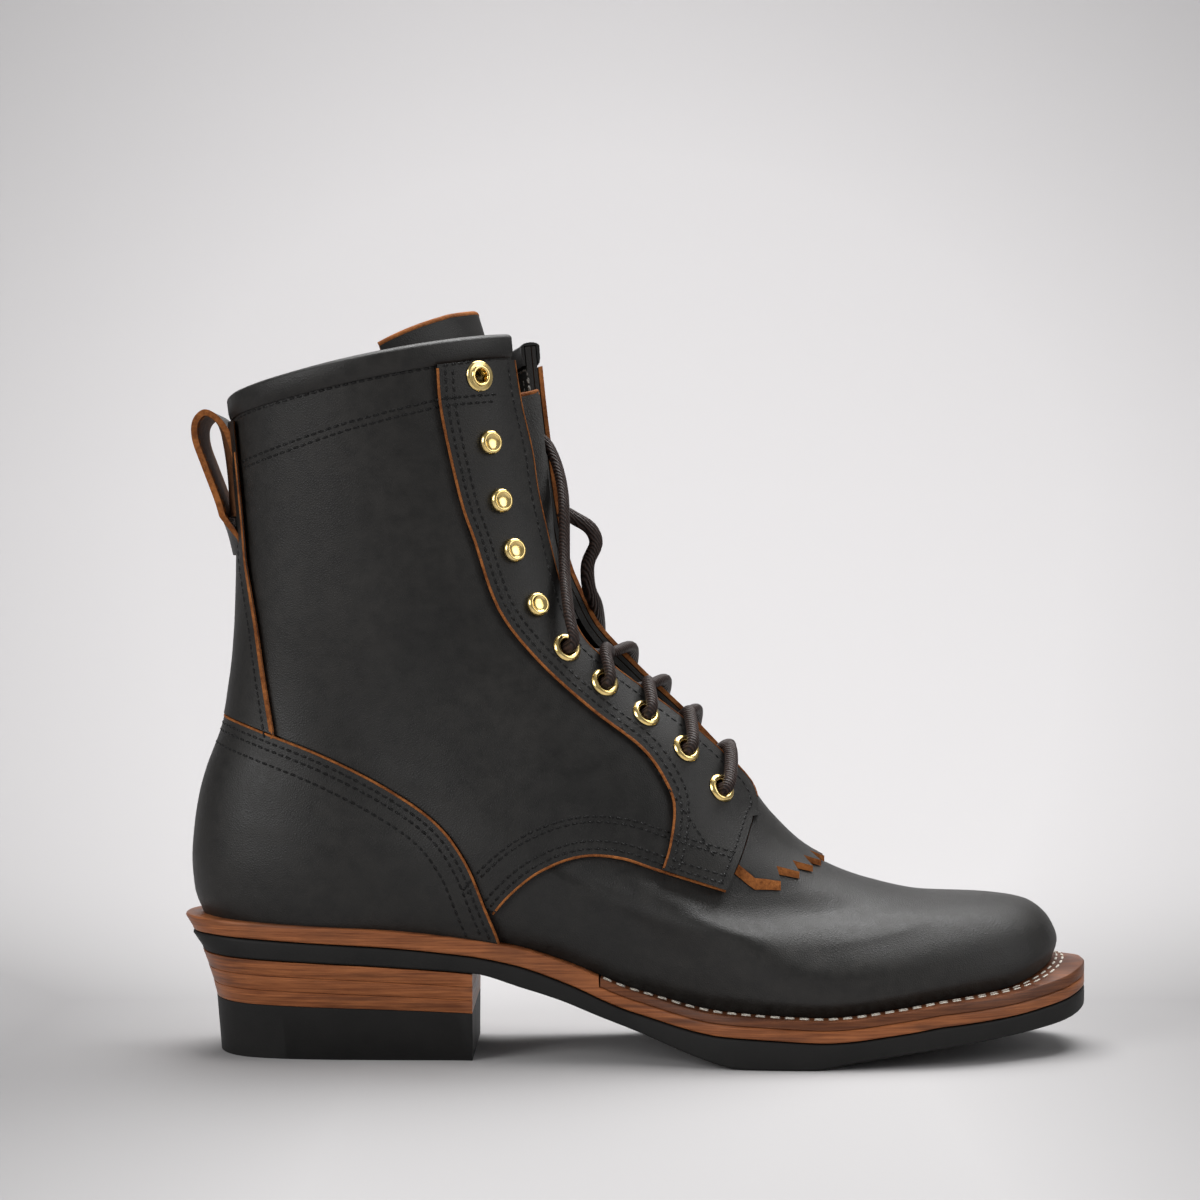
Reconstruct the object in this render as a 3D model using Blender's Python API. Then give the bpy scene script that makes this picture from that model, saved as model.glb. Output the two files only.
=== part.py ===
"""Packer boot for the right foot, standing on its sole.

Lengths are millimetres and become metres when a mesh is made. In the boot's own sizes x runs from
the back of the heel to the toe, y to the wearer's left (the inner side), and z up from the floor.
The finished part has its origin on the floor, under the middle of its box.
"""

import math

import bmesh
import bpy
import numpy as np
from mathutils import Vector

# Driving dimensions
SOLE_LENGTH = 310.0
WALL = 2.0
GAP = 0.35
SEAM_GAP = 0.3
QUARTER_THICKNESS = 1.4
STAY_THICKNESS = 1.5
COUNTER_THICKNESS = 2.9
KILTIE_THICKNESS = 1.7
BINDING_HEIGHT = 6.6
BINDING_THICKNESS = 1.1
WELT_THICKNESS = 2.6
WELT_START_X = 142.0
WELT_TOE_X = 245.0
WELT_BED = 0.5
WELT_TOE_BED = 0.9
MIDSOLE_HEEL = 5.6
MIDSOLE_FORE = 4.3
MIDSOLE_TOE = 1.0
MIDSOLE_TUCK = 2.4
OUTSOLE_TUCK = (2.6, 5.8)
INSOLE_THICKNESS = 3.6
HEEL_BREAST_X = 100.0
LIFTS = 3
HEEL_BACK = ((0.0, 6.0), (0.2, 8.5), (0.45, 10.8), (1.0, 12.3))
HEEL_TAPER = 0.12
HEEL_STACK_SHARE = 0.45
OUTSOLE_FLAT = (188.0, 212.0)

COUNTER_SEAM = 0.5
SEAM_TURN = 0.996
NOSE_TURN = 0.065
EYESTAY_STEP = 0.7
SIDES = (-1, 1)
SIDE_NAMES = {-1: "lateral", 1: "medial"}

# Offsets of each layer from the outside of the upper's wall
QUARTER_IN = GAP
QUARTER_OUT = QUARTER_IN + QUARTER_THICKNESS
STAY_IN = QUARTER_OUT + GAP
STAY_OUT = STAY_IN + STAY_THICKNESS
COUNTER_OUT = GAP + COUNTER_THICKNESS

# Rings of the upper from the feather edge (level 0) to the collar (level 1). Each runs from the back
# seam to the toe, ridge or throat; w10 to w90 are half widths at 10 to 90 percent of its length.
RING_COLUMNS = ("level", "back_x", "back_z", "front_x", "front_z", "sag", "heel_round",
                "w10", "w30", "w50", "w70", "w90", "toe_round", "swing", "twist")
RINGS = (
    (0.000, 9.5, 47.0, 299.0, 32.0, 20.0, 26, 27.0, 26.0, 28.0, 44.5, 34.5, 36, 1.0, 0.00),
    (0.100, 6.2, 56.0, 300.5, 37.0, 20.5, 27, 28.5, 28.5, 31.0, 48.0, 37.0, 38, 1.0, 0.00),
    (0.200, 5.4, 66.0, 298.0, 43.5, 21.0, 28, 29.0, 30.0, 32.5, 48.5, 36.5, 36, 1.0, 0.00),
    (0.300, 6.2, 77.0, 290.0, 50.0, 22.0, 27, 28.5, 30.5, 33.0, 46.5, 32.5, 24, 1.0, 0.00),
    (0.380, 7.8, 87.0, 276.0, 52.3, 20.0, 26, 27.5, 30.0, 33.0, 43.5, 28.5, 14, 1.0, 0.00),
    (0.450, 10.3, 96.0, 256.0, 53.2, 17.0, 25, 26.5, 29.5, 32.5, 38.5, 24.0, 11, 0.9, 0.00),
    (0.520, 13.0, 103.0, 234.0, 57.8, 14.5, 24, 25.5, 29.0, 32.0, 35.0, 24.0, 12, 0.8, 0.00),
    (0.580, 15.2, 109.0, 214.0, 66.5, 13.0, 23, 24.5, 28.5, 31.5, 32.5, 25.0, 13, 0.7, 0.03),
    (0.640, 16.8, 115.0, 200.0, 79.0, 11.0, 22, 23.5, 28.0, 31.0, 31.0, 23.5, 13, 0.6, 0.06),
    (0.700, 18.2, 123.0, 184.0, 101.0, 7.0, 21, 22.5, 28.0, 30.5, 30.0, 21.5, 13, 0.4, 0.10),
    (0.770, 19.8, 134.0, 160.0, 123.0, 3.0, 20, 21.5, 28.5, 31.0, 29.5, 20.0, 14, 0.2, 0.14),
    (0.830, 21.0, 150.0, 139.0, 146.0, 0.0, 20, 21.0, 30.0, 33.0, 31.0, 20.5, 17, 0.0, 0.17),
    (0.890, 21.6, 172.0, 127.5, 178.0, 0.0, 21, 21.5, 32.0, 35.5, 33.0, 21.5, 20, 0.0, 0.19),
    (0.945, 20.5, 197.0, 122.0, 210.0, 0.0, 23, 23.0, 34.5, 38.5, 36.0, 23.5, 23, 0.0, 0.20),
    (1.000, 18.5, 221.0, 118.5, 243.0, 0.0, 25, 24.0, 37.0, 41.5, 38.5, 25.0, 25, 0.0, 0.21),
)
WIDTH_STATIONS = (0.1, 0.3, 0.5, 0.7, 0.9)

# How the lower rings dip under their chords along the foot, as a share of the ring's sag
DIP = ((0.0, 0.0), (0.2, 0.0), (0.3, 0.06), (0.36, 0.14), (0.42, 0.35), (0.5, 0.75),
       (0.6, 1.0), (0.7, 1.0), (0.8, 0.77), (0.9, 0.38), (1.0, 0.0))

# What the lowest rings dip more beside the toe, fading out up to one level
TOE_DIP = ((0.0, 0.0), (0.7, 0.0), (0.77, 0.03), (0.834, 0.07), (0.933, 0.2), (0.985, 0.09), (1.0, 0.0))
TOE_DIP_LEVEL = 0.35

# Sideways curve of the last: y of the middle of the foot against x
SWING = ((0, 0.0), (60, 0.0), (108, -4.0), (150, -5.5), (185, -3.5), (215, 1.0), (240, 3.0),
         (265, 4.5), (310, 7.0))

# Half widths of the sole against its share of the length, between round ends
SOLE_HALF_WIDTHS = ((0.1, 31.0), (0.22, 33.5), (0.35, 31.0), (0.48, 33.0), (0.61, 46.0), (0.69, 51.5),
                    (0.77, 50.5), (0.855, 45.0), (0.935, 32.5))
SOLE_HEEL_ROUND = 33.0
SOLE_TOE_ROUND = 42.0

# Underside of the outsole: z against x, over the heel, down the waist, flat at the ball, up the toe
OUTSOLE_BOTTOM = ((0, 34.8), (100, 29.4), (116, 25.0), (129, 21.0), (142, 15.8), (156, 10.4), (169, 5.2),
                  (180, 1.6), (188, 0.0), (212, 0.0), (224, 2.0), (240, 4.2), (257, 6.2), (275, 8.2),
                  (294, 10.6), (304, 12.8), (310, 15.0))

# Height of the sole's upper edge round the toe, where it lies lower than the upper's own edge: z against x
SOLE_TOE_X = 225.0
SOLE_TOE_EDGE = ((225, 19.2), (251, 20.4), (280, 23.0), (298.6, 26.5), (308, 29.4), (310, 30.0))
GROOVE_FIRST_X = 166.0
GROOVE_PITCH = 13.0
GROOVE_COUNT = 10
GROOVE_WIDTH = 4.0
GROOVE_DEPTH = 2.2
GROOVE_MARGIN = 9.0
GROOVE_END = 0.5

# Grid of the upper: columns from the ridge to the back seam on each side, and its levels
COLUMNS = 17
LEVELS = (0.0, 0.06, 0.14, 0.24, 0.34, 0.43, 0.51, 0.57, 0.62, 0.67, 0.715, 0.755, 0.795, 0.835, 0.88,
          0.94, 1.0)

# Side-view outlines, (x, z), each a smooth run through its points. The front edges of the quarters run
# from the tip beside the kiltie, past the throat's base, up to the collar.
FRONT_LATERAL = ((184.0, 57.0), (189.0, 67.7), (192.4, 76.0), (194.1, 81.5), (192.3, 88.5), (187.0, 95.0),
                 (173.5, 107.5), (156.0, 121.0), (142.5, 131.5), (134.0, 140.5), (127.0, 157.0),
                 (119.5, 187.0), (116.8, 204.0), (113.0, 221.0), (109.8, 243.0), (108.5, 252.0))
FRONT_MEDIAL = ((184.0, 57.0), (189.0, 67.7), (192.6, 76.0), (195.0, 81.5), (192.8, 88.0), (186.8, 95.5),
                (171.0, 112.0), (156.0, 126.0), (141.0, 141.5), (134.5, 153.0), (128.6, 167.5),
                (124.6, 188.0), (121.7, 209.0), (119.8, 225.0), (118.0, 243.0), (117.3, 252.0))
THROAT_BASE_LEVEL = 0.643
PANEL_TURN_Z = 81.0
EYESTAY_FRONT_X = 125.0
EYESTAY_BACK = ((88.3, 240.0), (88.6, 230.0), (90.0, 214.5), (96.0, 187.0), (100.5, 173.5), (108.5, 150.5),
                (121.5, 133.5), (139.0, 117.5), (156.5, 104.0), (164.8, 92.0), (167.0, 84.0),
                (165.5, 72.5), (163.0, 64.6))
QUARTER_ARCH = ((107.0, 49.0), (112.5, 55.5), (122.5, 63.5), (136.0, 68.5), (149.0, 68.0), (161.5, 64.0),
                (184.0, 57.0))
COUNTER_TOP = ((-5.0, 117.5), (4.0, 116.5), (13.0, 114.5), (30.0, 109.0), (50.0, 101.5), (71.0, 91.0),
               (88.0, 79.5), (98.0, 66.5), (104.5, 51.0), (108.5, 41.0), (110.5, 33.0))
BACKSTAY_EDGE = ((18.7, 222.0), (18.9, 213.0), (20.2, 198.0), (22.0, 179.0), (23.1, 167.0), (25.0, 156.4),
                 (27.2, 144.4), (29.5, 129.3), (33.0, 109.7), (33.6, 106.0))

# Places of the eyelets and hooks on the outer side, (x, z) in the side view, from the toe up. The inner
# side's are as far from its own throat edge.
FASTENERS = ((181.2, 88.6, "eyelet"), (169.6, 101.7, "eyelet"), (156.3, 113.3, "eyelet"),
             (142.4, 124.1, "eyelet"), (129.6, 136.0, "eyelet"), (119.2, 151.1, "hook"),
             (111.4, 169.7, "hook"), (107.0, 186.5, "hook"), (103.4, 205.9, "hook"), (100.2, 228.0, "eyelet"))
EYELET_RADIUS = 4.7
EYELET_TOP_RADIUS = 5.2
EYELET_BORE = 3.0
EYELET_HEIGHT = 1.1
EYELET_SIDES = 10
HOOK_RADIUS = 3.9
HARDWARE_GAP = 0.6

# Kiltie, tongue, gussets and pull loop
KILTIE_TOP_Z = 78.5
KILTIE_CLEARANCE = 2.3
KILTIE_FRONT_X = 222.0
KILTIE_HALF_WIDTH = 33.0
KILTIE_DROP = 31.0
KILTIE_TEETH = 8
KILTIE_TOOTH = 5.0
TONGUE_LOW_LEVEL = 0.61
TONGUE_THICKNESS = 1.8
TONGUE_DEPTH = ((0.62, 2.35), (0.645, 4.6), (0.68, 7.8), (0.75, 8.5), (0.87, 8.5), (0.955, 11.0), (1.0, 15.5))
TONGUE_REACH = ((0.62, 0.1765), (0.75, 0.26), (0.9, 0.32), (1.0, 0.42))
TONGUE_RISE = 11.0
TONGUE_LEAN = 0.3
GUSSET_THICKNESS = 1.5
GUSSET_CLEARANCE = 1.9
GUSSET_INNER_TURN = 0.08
GUSSET_MEDIAL_Y = 3.0
GUSSET_CREASE = ((156.0, 130.0, 6.0), (164.0, 127.8, 6.0), (174.0, 126.2, 6.0), (186.0, 125.0, 6.0),
                 (200.0, 123.6, 6.5), (212.0, 122.2, 7.0), (223.0, 120.8, 8.0))
PULL_LOOP_THICKNESS = 2.1
PULL_LOOP_WIDTH = 22.0
PULL_LOOP = ((16.0, 182.0), (15.2, 196.0), (13.6, 208.0), (11.8, 214.5), (8.2, 217.2), (5.0, 214.0),
             (5.0, 208.0), (8.0, 199.5), (12.2, 189.0), (14.2, 183.0), (15.0, 176.0))

# Lace: strands across the throat, and the two loose ends, each a route from over the fifth eyelet
LACE_RADIUS = 1.9
LACE_SIDES = 6
LACE_GAP = 0.5
LACE_EDGE = 0.48
LACE_CENTRE = 0.63
LACE_UNDER = 0.78
LACE_MIDDLE = -0.5
LACE_CROSSINGS = 4
LACE_END_LATERAL = ((133.8, -28.5, 140.0), (132.4, -26.8, 147.0), (131.2, -22.5, 155.0),
                    (129.8, -16.8, 164.0), (128.8, -13.5, 174.0), (127.6, -12.0, 184.0),
                    (126.0, -11.5, 194.0), (124.2, -11.8, 204.0), (122.4, -12.5, 215.0))
LACE_END_MEDIAL = ((143.2, 26.0, 140.2), (142.4, 11.6, 150.8), (138.8, 4.0, 157.5), (138.2, 0.0, 166.0),
                   (141.0, -1.0, 173.0), (139.0, -1.5, 178.2), (133.6, -1.5, 181.7), (128.6, -1.5, 184.5))

# Colour, roughness and metallic value of each material
LOOKS = {
    "leather": ((0.022, 0.020, 0.018, 1), 0.55, 0.0),
    "sole_leather": ((0.22, 0.085, 0.035, 1), 0.5, 0.0),
    "raw_leather": ((0.30, 0.12, 0.04, 1), 0.7, 0.0),
    "rubber": ((0.016, 0.016, 0.017, 1), 0.7, 0.0),
    "brass": ((0.80, 0.52, 0.14, 1), 0.25, 1.0),
    "lace": ((0.035, 0.022, 0.017, 1), 0.6, 0.0),
    "lining": ((0.04, 0.034, 0.03, 1), 0.7, 0.0),
}


def smooth(points, x):
    """Monotone cubic through (x, y) points: passes through each and never overshoots."""
    xs = np.array([p[0] for p in points], float)
    ys = np.array([p[1] for p in points], float)
    step = np.diff(xs)
    slope = np.diff(ys) / step
    tangent = np.empty_like(ys)
    tangent[0] = slope[0]
    tangent[-1] = slope[-1]
    product = slope[:-1] * slope[1:]
    total = np.where(slope[:-1] + slope[1:] == 0, 1, slope[:-1] + slope[1:])
    tangent[1:-1] = np.where(product > 0, 2 * product / total, 0)
    x = np.clip(x, xs[0], xs[-1])
    i = np.clip(np.searchsorted(xs, x, side="right") - 1, 0, len(xs) - 2)
    h = step[i]
    f = (x - xs[i]) / h
    start = (1 + 2 * f) * (1 - f) ** 2 * ys[i] + f * (1 - f) ** 2 * h * tangent[i]
    end = f * f * (3 - 2 * f) * ys[i + 1] + f * f * (f - 1) * h * tangent[i + 1]
    return start + end


def ring_row(level):
    """Sizes of the ring at a level, by column name."""
    level = float(np.clip(level, 0, 1))
    return {name: float(smooth([(row[0], row[k]) for row in RINGS], level))
            for k, name in enumerate(RING_COLUMNS)}


def round_ended_width(along, stations, length, start_round, end_round):
    """Half width at a share of a length: sizes given at stations, with ends of the given radii."""
    fullness = [(0.0, math.sqrt(start_round * length / 2))]
    fullness += [(s, w / (2 * math.sqrt(s * (1 - s)))) for s, w in stations]
    fullness += [(1.0, math.sqrt(end_round * length / 2))]
    return 2 * np.sqrt(along * (1 - along)) * smooth(fullness, along)


def dip(along, level):
    """Share of a ring's sag at shares of its length."""
    low = max(0.0, 1.0 - level / TOE_DIP_LEVEL)
    return smooth(DIP, along) + low * smooth(TOE_DIP, along)


def upper_ring(level, turn):
    """Points of the upper's outer face. turn is 0 on the ridge, -1 to 0 outer side, 0 to 1 inner side."""
    ring = ring_row(level)
    turn = (np.asarray(turn, float) + 1) % 2 - 1
    along = (1 + np.cos(np.pi * turn)) / 2
    length = ring["front_x"] - ring["back_x"]
    stations = [(s, ring["w%d" % round(100 * s)]) for s in WIDTH_STATIONS]
    half = round_ended_width(along, stations, length, ring["heel_round"], ring["toe_round"])
    x = ring["back_x"] + along * length
    z = ring["back_z"] + along * (ring["front_z"] - ring["back_z"]) - ring["sag"] * dip(along, level)
    y = ring["swing"] * smooth(SWING, x) + np.sign(turn) * half
    return np.stack([x + ring["twist"] * y, y, z], axis=-1)


def upper_face(level, turn, offset):
    """Points at a distance outside the upper's outer face, along its normal."""
    small = 0.004
    low = max(level - small, 0.0)
    high = min(level + small, 1.0)
    across = upper_ring(level, np.asarray(turn) + small) - upper_ring(level, np.asarray(turn) - small)
    upward = upper_ring(high, turn) - upper_ring(low, turn)
    normal = np.cross(across, upward)
    normal /= np.linalg.norm(normal, axis=-1, keepdims=True)
    face = upper_ring(level, turn)
    moved = face + normal * offset
    if level == 0.0:
        moved[..., 2] = face[..., 2]
    return moved


def feather_z(x):
    """Height of the upper's lower edge against x."""
    ring = ring_row(0.0)
    along = np.clip((np.asarray(x, float) - ring["back_x"]) / (ring["front_x"] - ring["back_x"]), 0, 1)
    chord = ring["back_z"] + along * (ring["front_z"] - ring["back_z"])
    return chord - ring["sag"] * dip(along, 0.0)


def sole_edge_z(x):
    """Height of the sole's upper edge: the upper's lower edge, and a little below it round the toe."""
    edge = feather_z(x)
    return np.where(x > SOLE_TOE_X, np.minimum(edge, smooth(SOLE_TOE_EDGE, x)), edge)


def sole_outline(along):
    """x, outer y and inner y of the sole's edge at shares of its length."""
    half = round_ended_width(along, SOLE_HALF_WIDTHS, SOLE_LENGTH, SOLE_HEEL_ROUND, SOLE_TOE_ROUND)
    x = along * SOLE_LENGTH
    middle = smooth(SWING, x)
    return x, middle - half, middle + half


def box_centre_y():
    """Middle of the sole's width, which is the middle of the whole boot's."""
    along = (1 - np.cos(np.linspace(0, np.pi, 400))) / 2
    _, outer, inner = sole_outline(along)
    return (outer.min() + inner.max()) / 2


ORIGIN = np.array([SOLE_LENGTH / 2, box_centre_y(), 0.0])


def material(name, look):
    """A plain material of its own for one piece."""
    colour, roughness, metallic = LOOKS[look]
    made = bpy.data.materials.new(name + "_" + look)
    made.use_nodes = True
    shader = made.node_tree.nodes["Principled BSDF"]
    shader.inputs["Base Color"].default_value = colour
    shader.inputs["Roughness"].default_value = roughness
    shader.inputs["Metallic"].default_value = metallic
    return made


def make_object(name, points, faces, look, cutter=False):
    """An object from points in millimetres, with its faces turned outwards."""
    metres = (np.asarray(points, float) - ORIGIN) / 1000.0
    mesh = bpy.data.meshes.new(name)
    mesh.from_pydata([tuple(p) for p in metres], [], [tuple(f) for f in faces])
    work = bmesh.new()
    work.from_mesh(mesh)
    bmesh.ops.remove_doubles(work, verts=work.verts, dist=1e-6)
    bmesh.ops.recalc_face_normals(work, faces=work.faces)
    work.to_mesh(mesh)
    work.free()
    mesh.shade_smooth()
    mesh.set_sharp_from_angle(angle=math.radians(35))
    made = bpy.data.objects.new(name, mesh)
    bpy.context.scene.collection.objects.link(made)
    if cutter:
        made.hide_render = True
        made.display_type = "WIRE"
    else:
        mesh.materials.append(material(name, look))
    return made


def cut(target, cutter, operation):
    """Cuts a piece by another object, or keeps what is inside it."""
    step = target.modifiers.new(operation.lower() + "_" + cutter.name, "BOOLEAN")
    step.object = cutter
    step.operation = operation
    step.solver = "EXACT"


def grid_faces(rows, columns, start, closed=False, flip=False):
    """Triangles of a grid of points that starts at an index, row by row."""
    faces = []
    last = columns if closed else columns - 1
    for r in range(rows - 1):
        for c in range(last):
            a = start + r * columns + c
            b = start + r * columns + (c + 1) % columns
            d = a + columns
            e = b + columns
            pair = [(a, b, e), (a, e, d)]
            faces += [f[::-1] for f in pair] if flip else pair
    return faces


def rim_faces(first, second, closed):
    """Triangles of the strip between two rows of point numbers."""
    faces = []
    count = len(first)
    for i in range(count if closed else count - 1):
        j = (i + 1) % count
        faces += [(first[i], first[j], second[j]), (first[i], second[j], second[i])]
    return faces


def sheet_solid(outer, inner, closed):
    """Points and faces of the solid between two grids of points of one shape."""
    rows, columns = outer.shape[:2]
    points = np.concatenate([outer.reshape(-1, 3), inner.reshape(-1, 3)])
    half = rows * columns
    faces = grid_faces(rows, columns, 0, closed)
    faces += grid_faces(rows, columns, half, closed, flip=True)
    ids = np.arange(half).reshape(rows, columns)
    edges = [(ids[0], closed), (ids[-1], closed)]
    if not closed:
        edges += [(ids[:, 0], False), (ids[:, -1], False)]
    for row, loop in edges:
        faces += rim_faces(list(row), list(row + half), loop)
    return points, faces


def upper_layer(name, inside, outside, look, low=0.0, high=1.0, turns=None):
    """A layer between two offsets of the upper's face, on the upper's own grid."""
    levels = [v for v in LEVELS if low - 1e-6 <= v <= high + 1e-6]
    grid = np.linspace(-1, 1, 2 * COLUMNS + 1)
    closed = turns is None
    if closed:
        grid = grid[:-1]
    else:
        grid = np.append(grid, grid[1:] + 2)
        within = grid[(grid > turns[0] + 1e-3) & (grid < turns[1] - 1e-3)]
        grid = np.concatenate([[turns[0]], within, [turns[1]]])
    outer = np.stack([upper_face(v, grid, outside) for v in levels])
    inner = np.stack([upper_face(v, grid, inside) for v in levels])
    return make_object(name, *sheet_solid(outer, inner, closed), look)


def prism(name, outline, y_low, y_high):
    """A cutter: a side-view outline carried across the boot."""
    count = len(outline)
    near = [(x, y_low, z) for x, z in outline]
    far = [(x, y_high, z) for x, z in outline]
    faces = [tuple(range(count)), tuple(range(2 * count - 1, count - 1, -1))]
    faces += [(i, (i + 1) % count, count + (i + 1) % count, count + i) for i in range(count)]
    return make_object(name, near + far, faces, None, cutter=True)


def tube(name, rings, look, cutter=False):
    """A solid swept through rings of points, with flat ends."""
    count, sides = rings.shape[:2]
    faces = [tuple(range(sides)), tuple((count - 1) * sides + k for k in range(sides - 1, -1, -1))]
    for i in range(count - 1):
        for k in range(sides):
            a = i * sides + k
            b = i * sides + (k + 1) % sides
            faces.append((a, b, b + sides, a + sides))
    return make_object(name, rings.reshape(-1, 3), faces, look, cutter)


def block(name, x, outer, inner, top, bottom, look, lower=None):
    """A solid of cross strips: at each x, two sides with one top and one bottom height."""
    low_x, low_outer, low_inner = lower if lower else (x, outer, inner)
    rows = [(x, outer, top), (x, inner, top), (low_x, low_inner, bottom), (low_x, low_outer, bottom)]
    rings = np.stack([np.stack(row, axis=-1) for row in rows], axis=1)
    count = len(x)
    points = rings.reshape(-1, 3)
    faces = [(0, 1, 2, 3), tuple(4 * (count - 1) + k for k in (3, 2, 1, 0))]
    for i in range(count - 1):
        for k in range(4):
            a = 4 * i + k
            b = 4 * i + (k + 1) % 4
            faces.append((a, b, b + 4, a + 4))
    return make_object(name, points, faces, look)


def sole_stations():
    """Shares of the sole's length: the upper's own columns, and a few more at the round ends."""
    columns = upper_ring(0.0, np.linspace(-1, 0, COLUMNS + 1))[:, 0]
    ends = (0.4, 2.5, 6.0, 302.0, 305.5, 308.2, 309.6)
    return np.sort(np.append(columns, ends)) / SOLE_LENGTH


def facets(function, x):
    """A height along the sole as the upper's own columns cut it into straight runs."""
    stations = sole_stations() * SOLE_LENGTH
    return np.interp(x, stations, function(stations))


def edge_z(x):
    """Height of the sole's upper edge, in straight runs."""
    return facets(sole_edge_z, x)


def toe_share(x):
    """How far along the toe a point of the sole lies, from 0 behind it to 1 at its tip."""
    return np.clip((x - WELT_TOE_X) / (SOLE_LENGTH - WELT_TOE_X), 0, 1)


def midsole_top(x):
    """Top of the midsole: under the upper at the heel, lower by the welt ahead of it."""
    step = np.where(x > WELT_START_X, WELT_THICKNESS + WELT_BED + WELT_TOE_BED * toe_share(x), 0.0)
    return edge_z(x) - SEAM_GAP - step


def midsole_bottom(x):
    """Underside of the midsole, which is thicker at the forefoot, with its welt, and at the toe."""
    fore = MIDSOLE_FORE + WELT_THICKNESS + SEAM_GAP
    share = np.clip((x - HEEL_BREAST_X) / (WELT_START_X - HEEL_BREAST_X), 0, 1)
    thickness = MIDSOLE_HEEL + share * (fore - MIDSOLE_HEEL) + MIDSOLE_TOE * toe_share(x) ** 2
    return edge_z(x) - SEAM_GAP - thickness


def tucked(x, amount):
    """Moves the outline of the heel in from the back by an amount that fades out at the breast."""
    return x + amount * np.clip(1 - x / HEEL_BREAST_X, 0, 1) ** 2


def groove_depth(x):
    """Depth of the cross grooves under the forefoot."""
    last = GROOVE_FIRST_X + GROOVE_PITCH * (GROOVE_COUNT - 1)
    nearest = np.abs((x - GROOVE_FIRST_X + GROOVE_PITCH / 2) % GROOVE_PITCH - GROOVE_PITCH / 2)
    in_groove = nearest < GROOVE_WIDTH / 2 + 0.1
    inside = in_groove & (x > GROOVE_FIRST_X - GROOVE_WIDTH) & (x < last + GROOVE_WIDTH)
    return np.where(inside, GROOVE_DEPTH, 0.0)


def make_outsole():
    """Rubber sole with cross grooves that stop short of its edge."""
    along = sole_stations()
    grooves = GROOVE_FIRST_X + GROOVE_PITCH * np.arange(GROOVE_COUNT)
    edges = [g + side * (GROOVE_WIDTH / 2 + slope) for g in grooves for side in (-1, 1) for slope in (0, 0.4)]
    flats = (OUTSOLE_FLAT[0], OUTSOLE_FLAT[1], HEEL_BREAST_X, HEEL_BREAST_X + 16.0, HEEL_BREAST_X + 29.0)
    along = np.unique(np.append(along, np.array(edges + list(flats)) / SOLE_LENGTH))
    x, outer, inner = sole_outline(along)
    high_x = tucked(x, OUTSOLE_TUCK[0])
    low_x = tucked(x, OUTSOLE_TUCK[1])
    top = facets(midsole_bottom, x) - SEAM_GAP
    bottom = smooth(OUTSOLE_BOTTOM, low_x)
    cut_bottom = bottom + groove_depth(x)
    margin = np.minimum(GROOVE_MARGIN, (inner - outer) / 4)
    groove = margin + GROOVE_END
    rows = [(high_x, outer, top), (high_x, inner, top), (low_x, inner, bottom),
            (low_x, inner - margin, bottom), (low_x, inner - groove, cut_bottom),
            (low_x, outer + groove, cut_bottom),
            (low_x, outer + margin, bottom), (low_x, outer, bottom)]
    tube("outsole", np.stack([np.stack(row, axis=-1) for row in rows], axis=1), "rubber")


def make_midsole():
    along = sole_stations()
    step = np.array([WELT_START_X - 0.1, WELT_START_X + 0.1]) / SOLE_LENGTH
    x, outer, inner = sole_outline(np.sort(np.append(along, step)))
    block("midsole", x, outer, inner, midsole_top(x), facets(midsole_bottom, x), "sole_leather",
          lower=(tucked(x, MIDSOLE_TUCK), outer, inner))


def make_welt():
    """A strip round the forefoot that the upper's edge stands on."""
    ring = ring_row(0.0)
    first_share = (WELT_START_X + 0.5 - ring["back_x"]) / (ring["front_x"] - ring["back_x"])
    first_turn = math.acos(2 * first_share - 1) / math.pi
    turns = np.sort(np.append(np.linspace(-1, 1, 2 * COLUMNS + 1), [-first_turn, first_turn]))
    x = upper_ring(0.0, turns)[:, 0]
    keep = np.abs(turns) <= first_turn
    turns = turns[keep]
    x = x[keep]
    share = np.clip((x - WELT_TOE_X) / (x.max() - WELT_TOE_X), 0, 1)
    x = x + (SOLE_LENGTH - 0.2 - x.max()) * share ** 2 * (3 - 2 * share)
    _, outer, inner = sole_outline(x / SOLE_LENGTH)
    outside = np.stack([x, np.where(turns < 0, outer, inner)], axis=-1)
    inside = upper_face(0.0, turns, -WALL - SEAM_GAP)[:, :2]
    inside[:, 0] = np.maximum(inside[:, 0], WELT_START_X + 0.5)
    outside_z = edge_z(outside[:, 0]) - SEAM_GAP
    inside_z = upper_ring(0.0, turns)[:, 2] - SEAM_GAP
    rows = []
    for drop in (0.0, WELT_THICKNESS):
        rows.append(np.column_stack([outside, outside_z - drop]))
        rows.append(np.column_stack([inside, inside_z - drop]))
    rings = np.stack([rows[0], rows[1], rows[3], rows[2]], axis=1)
    tube("welt", rings, "sole_leather")


def make_insole():
    """Fills the foot's outline inside the upper's wall, down to the midsole."""
    turns = np.linspace(-1, 0, COLUMNS + 1)[1:-1]
    outer = upper_face(0.0, turns, -WALL - 2 * SEAM_GAP)
    inner = upper_face(0.0, -turns, -WALL - 2 * SEAM_GAP)
    x = (outer[:, 0] + inner[:, 0]) / 2
    y_outer = outer[:, 1]
    y_inner = inner[:, 1]
    step = np.array([WELT_START_X - 0.1, WELT_START_X + 1.2])
    stations = np.sort(np.append(x, step))
    y_outer = np.interp(stations, x, y_outer)
    y_inner = np.interp(stations, x, y_inner)
    bed = np.maximum(midsole_top(stations - 1.0), midsole_top(stations)) + SEAM_GAP
    block("insole", stations, y_outer, y_inner, edge_z(stations) + INSOLE_THICKNESS, bed, "lining")


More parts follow.
